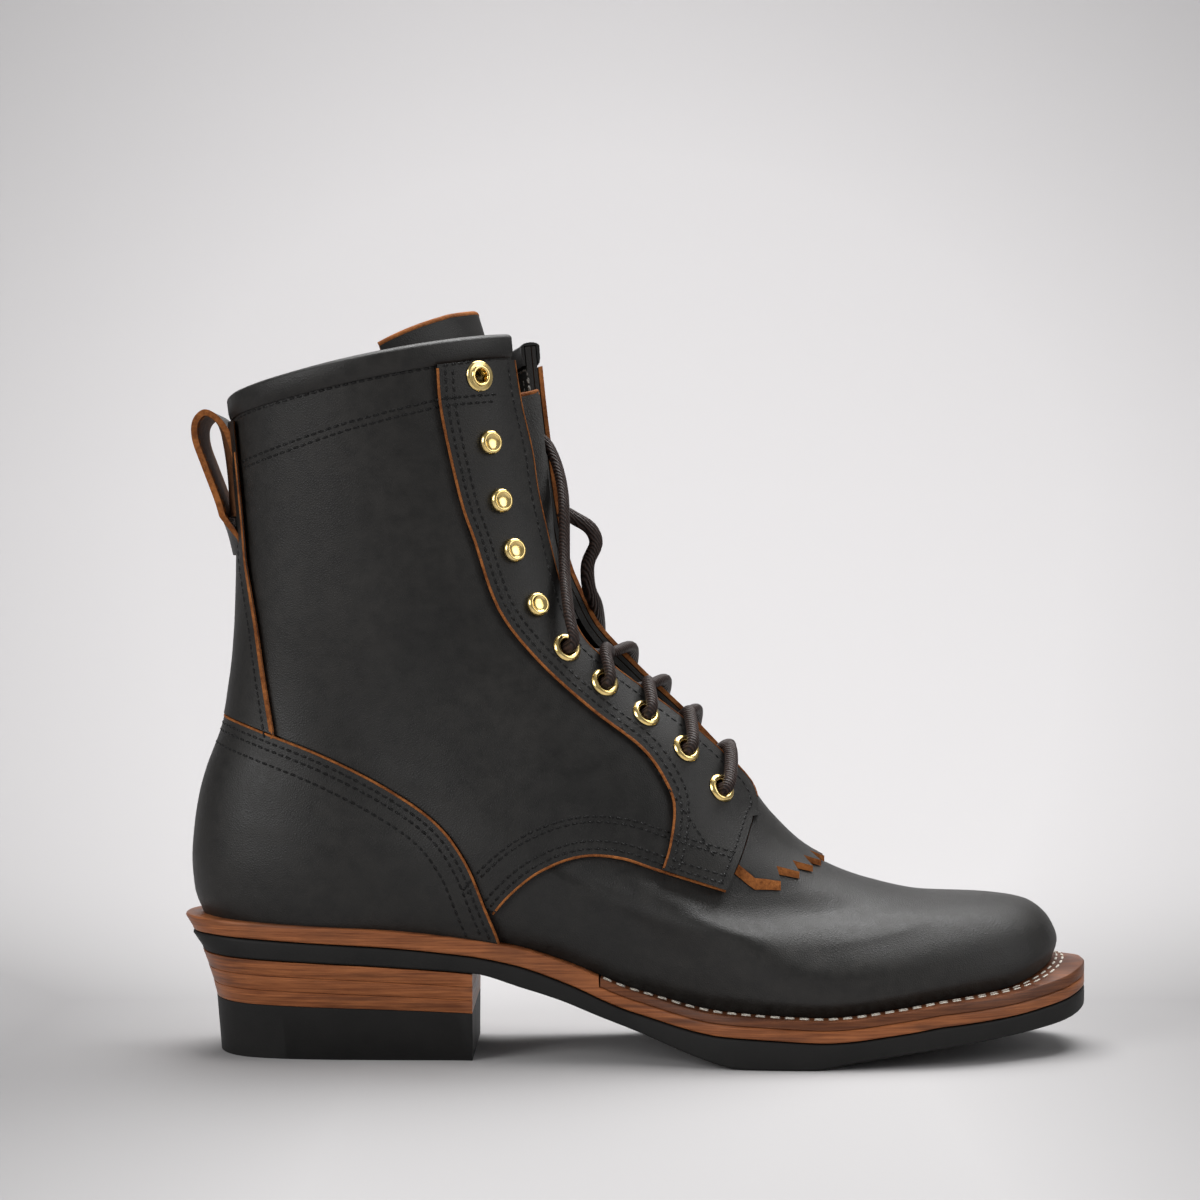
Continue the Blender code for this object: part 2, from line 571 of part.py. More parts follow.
def heel_outline(drop):
    """x, outer y and inner y of the heel block, which draws in towards the floor (drop 0 to 1)."""
    share = 1 - np.cos(np.linspace(0.09, math.pi / 2, 12))
    half = round_ended_width(share * HEEL_BREAST_X / SOLE_LENGTH, SOLE_HALF_WIDTHS, SOLE_LENGTH,
                             SOLE_HEEL_ROUND, SOLE_TOE_ROUND)
    half = half * (1 - HEEL_TAPER * drop)
    x = tucked(share * HEEL_BREAST_X, smooth(HEEL_BACK, drop))
    middle = smooth(SWING, x)
    return x, middle - half, middle + half


def heel_plane(x, drop):
    """Height of a joint in the heel stack: wedge shaped above the cap, flat on the floor."""
    top = smooth(OUTSOLE_BOTTOM, x) - SEAM_GAP
    return top * (1 - drop)


def make_heel():
    """Three leather lifts and a rubber cap."""
    drops = [i * HEEL_STACK_SHARE / LIFTS for i in range(LIFTS + 1)] + [1.0]
    names = ["heel_lift_%d" % (i + 1) for i in range(LIFTS)] + ["heel_cap"]
    for i, name in enumerate(names):
        upper_outline = heel_outline(drops[i])
        lower_outline = heel_outline(drops[i + 1])
        shave = SEAM_GAP if i else 0.0
        top = heel_plane(upper_outline[0], drops[i]) - shave
        bottom = heel_plane(lower_outline[0], drops[i + 1])
        block(name, *upper_outline, top, bottom, "rubber" if name == "heel_cap" else "sole_leather",
              lower=lower_outline)


def spline(points, steps=2):
    """A smooth run through points given by hand."""
    points = [np.array(p, float) for p in points]
    padded = [2 * points[0] - points[1]] + points + [2 * points[-1] - points[-2]]
    run = []
    for a, b, c, d in zip(padded, padded[1:], padded[2:], padded[3:]):
        for i in range(steps):
            f = i / steps
            run.append(0.5 * (2 * b + (c - a) * f + (2 * a - 5 * b + 4 * c - d) * f ** 2
                              + (3 * b - a - 3 * c + d) * f ** 3))
    return run + [points[-1]]


def collar_z(x, side=-1):
    """Height of the collar against x, on one side."""
    ring = upper_ring(1.0, side * np.linspace(1.0, 0.05, 60))
    return float(np.interp(x, ring[:, 0], ring[:, 2]))


def on_upper(x, z, side):
    """Level and turn of the point of the upper's face that a side view shows at (x, z)."""
    levels = np.linspace(0.3, 1.0, 57)
    turns = side * np.linspace(NOSE_TURN, 0.9, 60)
    rows = np.stack([upper_ring(v, turns) for v in levels])
    miss = (rows[..., 0] - x) ** 2 + (rows[..., 2] - z) ** 2
    row, column = np.unravel_index(miss.argmin(), miss.shape)
    level = levels[row]
    turn = turns[column]
    small = 1e-4
    for _ in range(12):
        here = upper_ring(level, turn)
        by_level = (upper_ring(min(level + small, 1.0), turn) - upper_ring(level - small, turn)) / (2 * small)
        by_turn = (upper_ring(level, turn + small) - upper_ring(level, turn - small)) / (2 * small)
        change = np.linalg.lstsq(np.array([[by_level[0], by_turn[0]], [by_level[2], by_turn[2]]]),
                                 np.array([x - here[0], z - here[2]]), rcond=None)[0]
        level = float(np.clip(level + change[0], 0.3, 0.999))
        turn = side * float(np.clip(side * (turn + change[1]), NOSE_TURN, 0.95))
    return level, turn


def seat(x, z, side):
    """Point and outward direction on the upper's face, from a side-view place."""
    level, turn = on_upper(x, z, side)
    point = upper_face(level, turn, 0.0)
    normal = upper_face(level, turn, 1.0) - point
    return point, normal / np.linalg.norm(normal)


def front_edge(side):
    """Front edge of the quarter on one side."""
    return spline(FRONT_MEDIAL if side > 0 else FRONT_LATERAL)


def edge_turn(level, side):
    """Turn at which a ring of the upper meets the throat's edge on one side."""
    turns = side * np.linspace(0.6, 0.01, 500)
    ring = upper_ring(level, turns)
    edge = np.array(front_edge(side))
    ahead = ring[:, 0] - np.interp(ring[:, 2], edge[:, 1], edge[:, 0])
    first = int(np.argmax(ahead > 0))
    return float(turns[first])


def throat_cutter():
    """The opening of the throat: a strip of the upper from edge to edge, cut right through its layers."""
    if "throat_cutter" in bpy.data.objects:
        return bpy.data.objects["throat_cutter"]
    outer = []
    inner = []
    for level in np.linspace(THROAT_BASE_LEVEL, 1.0, 17):
        turns = np.linspace(edge_turn(level, -1), edge_turn(level, 1), 4)
        outer.append(upper_face(level, turns, STAY_OUT + 4.0))
        inner.append(upper_face(level, turns, -WALL - 3.0))
    for rows in (outer, inner):
        rows.append(rows[-1] + (rows[-1] - rows[-2]))
    strip = sheet_solid(np.stack(outer), np.stack(inner), False)
    return make_object("throat_cutter", *strip, None, cutter=True)


def panel_front(side):
    """Side-view outline of a panel's front: its edge beside the kiltie, then clear ahead of the throat."""
    edge = [tuple(p) for p in front_edge(side) if p[1] < PANEL_TURN_Z]
    return edge + [(260.0, edge[-1][1] + 0.1), (260.0, 252.0)]


def eyelet_places(side):
    """Side-view places of the eyelets and hooks on one side, from the toe up, with their kinds."""
    places = []
    for x, z, kind in FASTENERS:
        if side > 0:
            x = x + np.interp(z, [p[1] for p in FRONT_MEDIAL], [p[0] for p in FRONT_MEDIAL]) - np.interp(
                z, [p[1] for p in FRONT_LATERAL], [p[0] for p in FRONT_LATERAL])
        places.append((x, z, kind))
    return places


def turned(point, axis, profile, sides):
    """Rings of a turned shape: profile rows are (radius, height along the axis)."""
    axis = Vector(axis)
    across = axis.orthogonal().normalized()
    over = axis.cross(across)
    rings = []
    for radius, height in profile:
        ring = []
        for k in range(sides):
            angle = 2 * math.pi * k / sides
            spoke = across * math.cos(angle) + over * math.sin(angle)
            ring.append(Vector(point) + axis * height + spoke * radius)
        rings.append(ring)
    return np.array(rings)


def eyelet_holes(side):
    """Cutter with one round bar through each eyelet of a side."""
    name = "eyelet_holes_" + SIDE_NAMES[side]
    if name in bpy.data.objects:
        return bpy.data.objects[name]
    points = []
    faces = []
    for x, z, kind in eyelet_places(side):
        if kind == "hook":
            continue
        point, normal = seat(x, z, side)
        rings = turned(point, normal, ((EYELET_BORE + GAP, -9.0), (EYELET_BORE + GAP, 9.0)), EYELET_SIDES)
        start = len(points)
        n = EYELET_SIDES
        points += list(rings.reshape(-1, 3))
        faces += [tuple(start + k for k in range(n)), tuple(start + n + k for k in range(n))]
        faces += [(start + k, start + (k + 1) % n, start + n + (k + 1) % n, start + n + k) for k in range(n)]
    return make_object(name, points, faces, None, cutter=True)


def make_hardware(side):
    """Brass eyelets and domed lace hooks of one side."""
    base = STAY_OUT + HARDWARE_GAP
    numbers = {"eyelet": 0, "hook": 0}
    for x, z, kind in eyelet_places(side):
        point, normal = seat(x, z, side)
        numbers[kind] += 1
        name = "%s_%s_%d" % (kind, SIDE_NAMES[side], numbers[kind])
        if kind == "eyelet":
            radius = EYELET_TOP_RADIUS if z > 200 else EYELET_RADIUS
            profile = ((EYELET_BORE, -WALL - 0.4), (EYELET_BORE, base), (radius, base),
                       ((radius + EYELET_BORE) / 2, base + EYELET_HEIGHT), (EYELET_BORE - 0.45, base + 0.6),
                       (EYELET_BORE - 0.45, -WALL - 0.4))
            rings = turned(point, normal, profile, EYELET_SIDES)
            points = rings.reshape(-1, 3)
            loop = len(profile)
            n = EYELET_SIDES
            starts = [(r * n, (r + 1) % loop * n) for r in range(loop)]
            faces = [(a + k, a + (k + 1) % n, b + (k + 1) % n, b + k) for a, b in starts for k in range(n)]
            make_object(name, points, faces, "brass")
        else:
            profile = ((HOOK_RADIUS - 0.6, base), (HOOK_RADIUS, base + 0.9), (HOOK_RADIUS * 0.7, base + 2.6),
                       (HOOK_RADIUS * 0.4, base + 2.1))
            tube(name, turned(point, normal, profile, EYELET_SIDES), "brass")


def make_upper():
    """The wall of vamp and shaft, open at the collar, the throat and underneath."""
    upper = upper_layer("upper", -WALL, 0.0, "leather")
    cut(upper, throat_cutter(), "DIFFERENCE")
    for side in SIDES:
        cut(upper, eyelet_holes(side), "DIFFERENCE")


def make_quarter(side):
    """Side panel of the shaft, from the backstay to the throat, over the vamp."""
    name = "quarter_" + SIDE_NAMES[side]
    quarter = upper_layer(name, QUARTER_IN, QUARTER_OUT, "leather", low=0.05, high=1.0,
                          turns=(-SEAM_TURN, -0.02) if side < 0 else (0.02, SEAM_TURN))
    counter_line = [(p[0] + 0.2, p[1] + COUNTER_SEAM) for p in spline(COUNTER_TOP) if p[1] > 50.5]
    outline = [(-20.0, 252.0), (-20.0, counter_line[0][1])] + counter_line
    outline += [tuple(p) for p in spline(QUARTER_ARCH)][1:]
    outline += panel_front(side)[1:]
    cut(quarter, prism("quarter_cutter_" + SIDE_NAMES[side], outline, -90.0, 90.0), "INTERSECT")
    cut(quarter, throat_cutter(), "DIFFERENCE")
    cut(quarter, eyelet_holes(side), "DIFFERENCE")


def make_eyestay(side):
    """Facing along the throat that carries the eyelets and hooks, down to the tip beside the kiltie."""
    name = "eyestay_" + SIDE_NAMES[side]
    stay = upper_layer(name, STAY_IN, STAY_OUT, "leather", low=0.28, high=1.0,
                       turns=(-0.75, -0.02) if side < 0 else (0.02, 0.75))
    back = [tuple(p) for p in spline(EYESTAY_BACK)]
    front = panel_front(side)
    tip = (front[0][0], front[0][1] + EYESTAY_STEP)
    under_binding = BINDING_HEIGHT + 2 * GAP
    back = [p for p in back if p[1] < collar_z(p[0], side) - under_binding]
    back_top = (back[0][0], collar_z(back[0][0], side) - under_binding)
    front_top = (EYESTAY_FRONT_X, collar_z(EYESTAY_FRONT_X, side) - under_binding)
    outline = [back_top] + back + [tip] + front[1:-1] + [(260.0, front_top[1]), front_top]
    cut(stay, prism("eyestay_cutter_" + SIDE_NAMES[side], outline, -90.0, 90.0), "INTERSECT")
    cut(stay, throat_cutter(), "DIFFERENCE")
    cut(stay, eyelet_holes(side), "DIFFERENCE")


def make_counter():
    """Heel counter, wrapped round the back from side to side."""
    counter = upper_layer("heel_counter", GAP, COUNTER_OUT, "leather", low=0.0, high=0.71, turns=(0.5, 1.5))
    outline = [tuple(p) for p in spline(COUNTER_TOP)] + [(112.0, 20.0), (-20.0, 20.0), (-20.0, 117.5)]
    cut(counter, prism("counter_cutter", outline, -90.0, 90.0), "INTERSECT")


def make_backstay():
    """Strip over the back seam, from the counter to the collar."""
    stay = upper_layer("backstay", STAY_IN, STAY_OUT, "leather", low=0.43, high=1.0, turns=(0.75, 1.25))
    edge = [tuple(p) for p in spline(BACKSTAY_EDGE)]
    top = collar_z(18.0) - BINDING_HEIGHT - GAP
    edge = [p for p in edge if p[1] < top]
    bottom = [(p[0], p[1] + COUNTER_SEAM) for p in spline(COUNTER_TOP) if p[0] < 33.5]
    edge = [p for p in edge if p[1] > bottom[-1][1] + 0.5]
    outline = [(-20.0, top), (edge[0][0], top)] + edge + bottom[::-1] + [(-20.0, bottom[0][1])]
    cut(stay, prism("backstay_cutter", outline, -60.0, 60.0), "INTERSECT")


def make_binding():
    """Rolled leather over the collar's edge, from one side of the throat round to the other."""
    turns = np.linspace(edge_turn(1.0, 1), 2 + edge_turn(1.0, -1), 30)
    wall = BINDING_THICKNESS
    profile = ((QUARTER_OUT + GAP + wall, -BINDING_HEIGHT), (QUARTER_OUT + GAP + wall, 0.0),
               (QUARTER_OUT * 0.5, 0.4 + wall), (-WALL * 0.5, 0.4 + wall), (-WALL - GAP - wall, 0.0),
               (-WALL - GAP - wall, -BINDING_HEIGHT), (-WALL - GAP, -BINDING_HEIGHT), (-WALL - GAP, 0.35),
               (QUARTER_OUT + GAP, 0.35), (QUARTER_OUT + GAP, -BINDING_HEIGHT))
    face = upper_face(1.0, turns, 0.0)
    outward = upper_face(1.0, turns, 1.0) - face
    upward = face - upper_face(0.97, turns, 0.0)
    upward /= np.linalg.norm(upward, axis=-1, keepdims=True)
    rings = np.stack([face + outward * out + upward * up for out, up in profile], axis=1)
    tube("collar_binding", rings, "leather")


def make_kiltie():
    """Saw-toothed tongue of leather over the vamp, between the tips of the quarters."""
    kiltie = upper_layer("kiltie", GAP, GAP + KILTIE_THICKNESS, "leather", low=0.36, high=0.71,
                         turns=(-0.46, 0.46))
    behind = [(p[0] + KILTIE_CLEARANCE, p[1]) for p in front_edge(-1) if p[1] < KILTIE_TOP_Z]
    ahead = [(260.0, KILTIE_TOP_Z), (260.0, 40.0), (behind[0][0], 40.0)]
    side_view = prism("kiltie_side_cutter", behind + [(behind[-1][0], KILTIE_TOP_Z)] + ahead, -60.0, 60.0)
    cut(kiltie, side_view, "INTERSECT")
    plan = [(170.0, -KILTIE_HALF_WIDTH), (170.0, KILTIE_HALF_WIDTH)]
    for i in range(2 * KILTIE_TEETH + 1):
        share = 1 - i / KILTIE_TEETH
        reach = KILTIE_FRONT_X - KILTIE_DROP * share ** 2 - (KILTIE_TOOTH if i % 2 == 0 else 0.0)
        plan.append((reach, KILTIE_HALF_WIDTH * share))
    middle = float(smooth(SWING, KILTIE_FRONT_X)) * 0.7
    count = len(plan)
    points = [(x, y + middle, z) for z in (30.0, 110.0) for x, y in plan]
    faces = [tuple(range(count)), tuple(range(count, 2 * count))]
    faces += [(i, (i + 1) % count, count + (i + 1) % count, count + i) for i in range(count)]
    cut(kiltie, make_object("kiltie_plan_cutter", points, faces, None, cutter=True), "INTERSECT")


def tongue_depth(level):
    """How far the tongue's front lies inside the upper's outer face."""
    return smooth(TONGUE_DEPTH, level)


def make_tongue():
    """Sheet behind the throat that leans back and stands above the collar."""
    levels = [v for v in LEVELS if v >= TONGUE_LOW_LEVEL]
    shares = np.linspace(-1, 1, 7)
    fronts = []
    backs = []
    for level in levels:
        reach = float(smooth(TONGUE_REACH, level))
        fronts.append(upper_face(level, shares * reach, -tongue_depth(level)))
        backs.append(upper_face(level, shares * reach, -tongue_depth(level) - TONGUE_THICKNESS))
    rise = TONGUE_RISE * (1 - 0.7 * shares ** 2)
    lean = np.array([-TONGUE_LEAN, 0.0, 1.0])
    for step in (0.5, 1.0):
        fronts.append(fronts[len(levels) - 1] + step * rise[:, None] * lean)
        backs.append(backs[len(levels) - 1] + step * rise[:, None] * lean)
    make_object("tongue", *sheet_solid(np.stack(fronts), np.stack(backs), False), "leather")


def thick_line(line, thickness):
    """Outline of a line of plan points, thickened to both sides."""
    line = np.asarray(line, float)
    along = np.gradient(line, axis=0)
    along /= np.linalg.norm(along, axis=1, keepdims=True)
    side = np.stack([-along[:, 1], along[:, 0]], axis=1) * thickness / 2
    return np.concatenate([line + side, (line - side)[::-1]])


def make_gusset(side):
    """Folded leather between tongue and eyestay; its crease stands in the open throat."""
    rings = []
    levels = np.linspace(0.8, 1.0, 21)
    heights = [upper_ring(v, edge_turn(v, side))[2] for v in levels]
    for z, crease_x, crease_y in GUSSET_CREASE:
        if side > 0:
            crease_y = GUSSET_MEDIAL_Y
        level = float(np.interp(z, heights, levels))
        turn = edge_turn(level, side)
        edge = upper_face(level, turn, -WALL - GUSSET_CLEARANCE)
        behind = upper_face(level, turn + side * 0.04, -WALL - GUSSET_CLEARANCE)
        inner_turn = side * GUSSET_INNER_TURN
        tongue = upper_face(level, inner_turn, -tongue_depth(level) + GUSSET_CLEARANCE + 0.4)
        crease = np.array([crease_x, side * crease_y])
        fold = np.array([-2.2, -side * 1.6])
        line = [behind[:2], edge[:2], edge[:2] + (crease - edge[:2]) * 0.5, crease, crease + fold,
                tongue[:2] + (crease - tongue[:2]) * 0.5, tongue[:2]]
        plan = thick_line(line, GUSSET_THICKNESS)
        rings.append(np.column_stack([plan, np.full(len(plan), z)]))
    tube("gusset_" + SIDE_NAMES[side], np.stack(rings), "leather")


def make_pull_loop():
    """Strap folded into a loop behind the collar."""
    points = thick_line(spline(PULL_LOOP), PULL_LOOP_THICKNESS)
    rings = [[(x, y, z) for x, z in points] for y in (-PULL_LOOP_WIDTH / 2, PULL_LOOP_WIDTH / 2)]
    tube("pull_loop", np.array(rings), "raw_leather")


def cord_rings(path, radius, sides):
    """Rings of a round cord along a path."""
    path = [Vector(p) for p in path]
    rings = []
    across = Vector((0.3, 0.2, 1.0))
    for i, point in enumerate(path):
        along = (path[min(i + 1, len(path) - 1)] - path[max(i - 1, 0)]).normalized()
        across = (across - along * across.dot(along)).normalized()
        over = along.cross(across)
        rings.append([point + radius * (across * math.cos(a) + over * math.sin(a))
                      for a in np.linspace(0, 2 * math.pi, sides, endpoint=False)])
    return np.array(rings)


def lace_strand(side, number):
    """Lace from over one eyelet, across its own edge, to under the other edge below the next eyelet."""
    x, z, _ = eyelet_places(side)[number]
    next_x, next_z, _ = eyelet_places(side)[number + 1]
    point, normal = seat(x, z, side)
    level = on_upper(x, z, side)[0]
    step = on_upper(next_x, next_z, side)[0] - level
    edge = level + LACE_EDGE * step
    middle = level + LACE_CENTRE * step
    far = level + LACE_UNDER * step
    over = STAY_OUT + LACE_RADIUS + LACE_GAP
    between = (edge_turn(middle, side) + edge_turn(middle, -side)) / 2
    path = [point + normal * (STAY_OUT + HARDWARE_GAP + EYELET_HEIGHT + LACE_RADIUS + 3 * LACE_GAP),
            upper_face(edge, edge_turn(edge, side), over), upper_face(middle, between, LACE_MIDDLE),
            upper_face(far, edge_turn(far, -side), -WALL - LACE_RADIUS - 2 * LACE_GAP)]
    return spline(path)


def make_lace_crossing(number):
    """Two strands joined where they cross in the throat."""
    name = "lace_crossing_%d" % (number + 1)
    strands = [cord_rings(lace_strand(side, number), LACE_RADIUS, LACE_SIDES) for side in SIDES]
    crossing = tube(name, strands[0], "lace")
    cut(crossing, tube(name + "_strand", strands[1], None, cutter=True), "UNION")


def make_lace_end(name, route):
    """Loose end of the lace above the last eyelet."""
    tube(name, cord_rings(spline(route), LACE_RADIUS, LACE_SIDES), "lace")


def remove_everything():
    """Empties the scene."""
    for old in list(bpy.data.objects):
        bpy.data.objects.remove(old, do_unlink=True)


def main():
    remove_everything()
    make_upper()
    make_outsole()
    make_midsole()
    make_welt()
    make_insole()
    make_heel()
    for side in SIDES:
        make_quarter(side)
        make_eyestay(side)
    make_counter()
    make_backstay()
    make_binding()
    make_kiltie()
    make_tongue()
    make_pull_loop()
    for side in SIDES:
        make_gusset(side)
        make_hardware(side)
    for number in range(LACE_CROSSINGS):
        make_lace_crossing(number)
    make_lace_end("lace_end_lateral", LACE_END_LATERAL)
    make_lace_end("lace_end_medial", LACE_END_MEDIAL)


main()
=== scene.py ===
"""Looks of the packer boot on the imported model: leather pieces, stitching, laces, light and camera.

Lengths are millimetres in the boot's own sizes, as in the part's source: x from the back of the heel to
the toe, y to the wearer's left, z up from the floor. to_frame() turns them into metres in the model's frame.
"""

import functools
import math

import bmesh
import bpy
import numpy as np
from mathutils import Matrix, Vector
from mathutils.bvhtree import BVHTree


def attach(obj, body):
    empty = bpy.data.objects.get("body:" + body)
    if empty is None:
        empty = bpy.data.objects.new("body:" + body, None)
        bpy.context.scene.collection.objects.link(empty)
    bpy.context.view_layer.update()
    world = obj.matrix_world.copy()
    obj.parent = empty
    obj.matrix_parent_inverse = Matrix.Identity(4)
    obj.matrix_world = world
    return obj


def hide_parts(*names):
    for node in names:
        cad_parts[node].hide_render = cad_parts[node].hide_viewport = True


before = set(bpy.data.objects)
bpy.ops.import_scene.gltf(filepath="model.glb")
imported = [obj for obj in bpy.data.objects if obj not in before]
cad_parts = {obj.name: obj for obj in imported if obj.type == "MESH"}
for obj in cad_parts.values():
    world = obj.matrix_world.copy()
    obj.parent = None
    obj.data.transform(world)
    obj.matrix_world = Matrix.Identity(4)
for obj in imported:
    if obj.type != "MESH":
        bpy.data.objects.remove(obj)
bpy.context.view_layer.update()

# Driving dimensions: those of the part's source, and what the scene adds to them
SOLE_LENGTH = 310.0
WALL = 2.0
GAP = 0.35
SEAM_GAP = 0.3
QUARTER_THICKNESS = 1.4
STAY_THICKNESS = 1.5
COUNTER_THICKNESS = 2.9
KILTIE_THICKNESS = 1.7
BINDING_HEIGHT = 6.6
BINDING_THICKNESS = 1.1
BINDING_EDGE = 0.1
BINDING_LIP = ((0.45, 0.8), (0.1, 2.4))
BINDING_ROLL = 1.5
BINDING_LOW_LEVEL = 0.97
WELT_THICKNESS = 2.6
WELT_START_X = 142.0
WELT_TOE_X = 245.0
WELT_BED = 0.5
WELT_TOE_BED = 0.9
WELT_BED_GAP = 0.08
WELT_STEP = 0.1
WELT_END_GAP = 0.5
WELT_TOE_GAP = 0.2
MIDSOLE_HEEL = 5.6
MIDSOLE_FORE = 4.3
MIDSOLE_TOE = 1.0
MIDSOLE_TUCK = 2.4
OUTSOLE_TUCK = (2.6, 5.8)
HEEL_BREAST_X = 100.0
LIFTS = 3
HEEL_BACK = ((0.0, 6.0), (0.2, 8.5), (0.45, 10.8), (1.0, 12.3))
HEEL_TAPER = 0.12
HEEL_STACK_SHARE = 0.45
HEEL_EDGE = 0.16
HEEL_JOINT = 0.12
COUNTER_SEAM = 0.5
COUNTER_SEAM_X = 0.2
QUARTER_LOW_Z = 50.5
SEAM_TURN = 0.996
NOSE_TURN = 0.065
SEARCH_LEVELS = (0.3, 0.999)
SEARCH_BACK_TURN = 0.95
THROAT_SEARCH_TURNS = np.linspace(0.6, 0.01, 1500)
COLLAR_TURNS = np.linspace(1.0, 0.05, 60)
SMALL_STEP = 0.004
STAY_EDGE_STEP = 1.0
EYESTAY_STEP = 0.7
UNDER_BINDING = BINDING_HEIGHT + 0.15
THROAT_TURN = 0.02
EYESTAY_TURN = 0.75

# Reach of the cutters past the boot, and of the closer ones for the throat, backstay and kiltie
CUT_BACK_X = -20.0
CUT_FRONT_X = 260.0
CUT_TOP_Z = 262.0
CUT_HALF_WIDTH = 90.0
THROAT_CUT_OUT = 4.0
THROAT_CUT_IN = 3.0
NARROW_CUT = (-60.0, 60.0)
KILTIE_BOX_BACK_X = 160.0
KILTIE_CUT_BACK_X = 150.0
KILTIE_CUT_Z = (30.0, 110.0)

SIDES = (-1, 1)
SIDE_NAMES = {-1: "lateral", 1: "medial"}

# Offsets of each layer from the outside of the upper's wall
QUARTER_IN = GAP
QUARTER_OUT = QUARTER_IN + QUARTER_THICKNESS
STAY_IN = QUARTER_OUT + GAP
STAY_OUT = STAY_IN + STAY_THICKNESS
COUNTER_OUT = GAP + COUNTER_THICKNESS

# Rings of the upper from the feather edge (level 0) to the collar (level 1)
RING_COLUMNS = ("level", "back_x", "back_z", "front_x", "front_z", "sag", "heel_round",
                "w10", "w30", "w50", "w70", "w90", "toe_round", "swing", "twist")
RINGS = (
    (0.000, 9.5, 47.0, 299.0, 32.0, 20.0, 26, 27.0, 26.0, 28.0, 44.5, 34.5, 36, 1.0, 0.00),
    (0.100, 6.2, 56.0, 300.5, 37.0, 20.5, 27, 28.5, 28.5, 31.0, 48.0, 37.0, 38, 1.0, 0.00),
    (0.200, 5.4, 66.0, 298.0, 43.5, 21.0, 28, 29.0, 30.0, 32.5, 48.5, 36.5, 36, 1.0, 0.00),
    (0.300, 6.2, 77.0, 290.0, 50.0, 22.0, 27, 28.5, 30.5, 33.0, 46.5, 32.5, 24, 1.0, 0.00),
    (0.380, 7.8, 87.0, 276.0, 52.3, 20.0, 26, 27.5, 30.0, 33.0, 43.5, 28.5, 14, 1.0, 0.00),
    (0.450, 10.3, 96.0, 256.0, 53.2, 17.0, 25, 26.5, 29.5, 32.5, 38.5, 24.0, 11, 0.9, 0.00),
    (0.520, 13.0, 103.0, 234.0, 57.8, 14.5, 24, 25.5, 29.0, 32.0, 35.0, 24.0, 12, 0.8, 0.00),
    (0.580, 15.2, 109.0, 214.0, 66.5, 13.0, 23, 24.5, 28.5, 31.5, 32.5, 25.0, 13, 0.7, 0.03),
    (0.640, 16.8, 115.0, 200.0, 79.0, 11.0, 22, 23.5, 28.0, 31.0, 31.0, 23.5, 13, 0.6, 0.06),
    (0.700, 18.2, 123.0, 184.0, 101.0, 7.0, 21, 22.5, 28.0, 30.5, 30.0, 21.5, 13, 0.4, 0.10),
    (0.770, 19.8, 134.0, 160.0, 123.0, 3.0, 20, 21.5, 28.5, 31.0, 29.5, 20.0, 14, 0.2, 0.14),
    (0.830, 21.0, 150.0, 139.0, 146.0, 0.0, 20, 21.0, 30.0, 33.0, 31.0, 20.5, 17, 0.0, 0.17),
    (0.890, 21.6, 172.0, 127.5, 178.0, 0.0, 21, 21.5, 32.0, 35.5, 33.0, 21.5, 20, 0.0, 0.19),
    (0.945, 20.5, 197.0, 122.0, 210.0, 0.0, 23, 23.0, 34.5, 38.5, 36.0, 23.5, 23, 0.0, 0.20),
    (1.000, 18.5, 221.0, 118.5, 243.0, 0.0, 25, 24.0, 37.0, 41.5, 38.5, 25.0, 25, 0.0, 0.21),
)
WIDTH_STATIONS = (0.1, 0.3, 0.5, 0.7, 0.9)
DIP = ((0.0, 0.0), (0.2, 0.0), (0.3, 0.06), (0.36, 0.14), (0.42, 0.35), (0.5, 0.75),
       (0.6, 1.0), (0.7, 1.0), (0.8, 0.77), (0.9, 0.38), (1.0, 0.0))

# What the lowest rings dip more beside the toe, fading out up to one level
TOE_DIP = ((0.0, 0.0), (0.7, 0.0), (0.77, 0.03), (0.834, 0.07), (0.933, 0.2), (0.985, 0.09), (1.0, 0.0))
TOE_DIP_LEVEL = 0.35
SWING = ((0, 0.0), (60, 0.0), (108, -4.0), (150, -5.5), (185, -3.5), (215, 1.0), (240, 3.0),
         (265, 4.5), (310, 7.0))
SOLE_HALF_WIDTHS = ((0.1, 31.0), (0.22, 33.5), (0.35, 31.0), (0.48, 33.0), (0.61, 46.0), (0.69, 51.5),
                    (0.77, 50.5), (0.855, 45.0), (0.935, 32.5))
SOLE_HEEL_ROUND = 33.0
SOLE_TOE_ROUND = 42.0
OUTSOLE_BOTTOM = ((0, 34.8), (100, 29.4), (116, 25.0), (129, 21.0), (142, 15.8), (156, 10.4), (169, 5.2),
                  (180, 1.6), (188, 0.0), (212, 0.0), (224, 2.0), (240, 4.2), (257, 6.2), (275, 8.2),
                  (294, 10.6), (304, 12.8), (310, 15.0))

# Height of the sole's upper edge round the toe, where it lies lower than the upper's own edge: z against x
SOLE_TOE_X = 225.0
SOLE_TOE_EDGE = ((225, 19.2), (251, 20.4), (280, 23.0), (298.6, 26.5), (308, 29.4), (310, 30.0))
GROOVE_FIRST_X = 166.0
GROOVE_PITCH = 13.0
GROOVE_COUNT = 10
GROOVE_WIDTH = 4.0
GROOVE_DEPTH = 2.2
GROOVE_MARGIN = 9.0
GROOVE_END = 0.5
GROOVE_SLOPE = 0.4

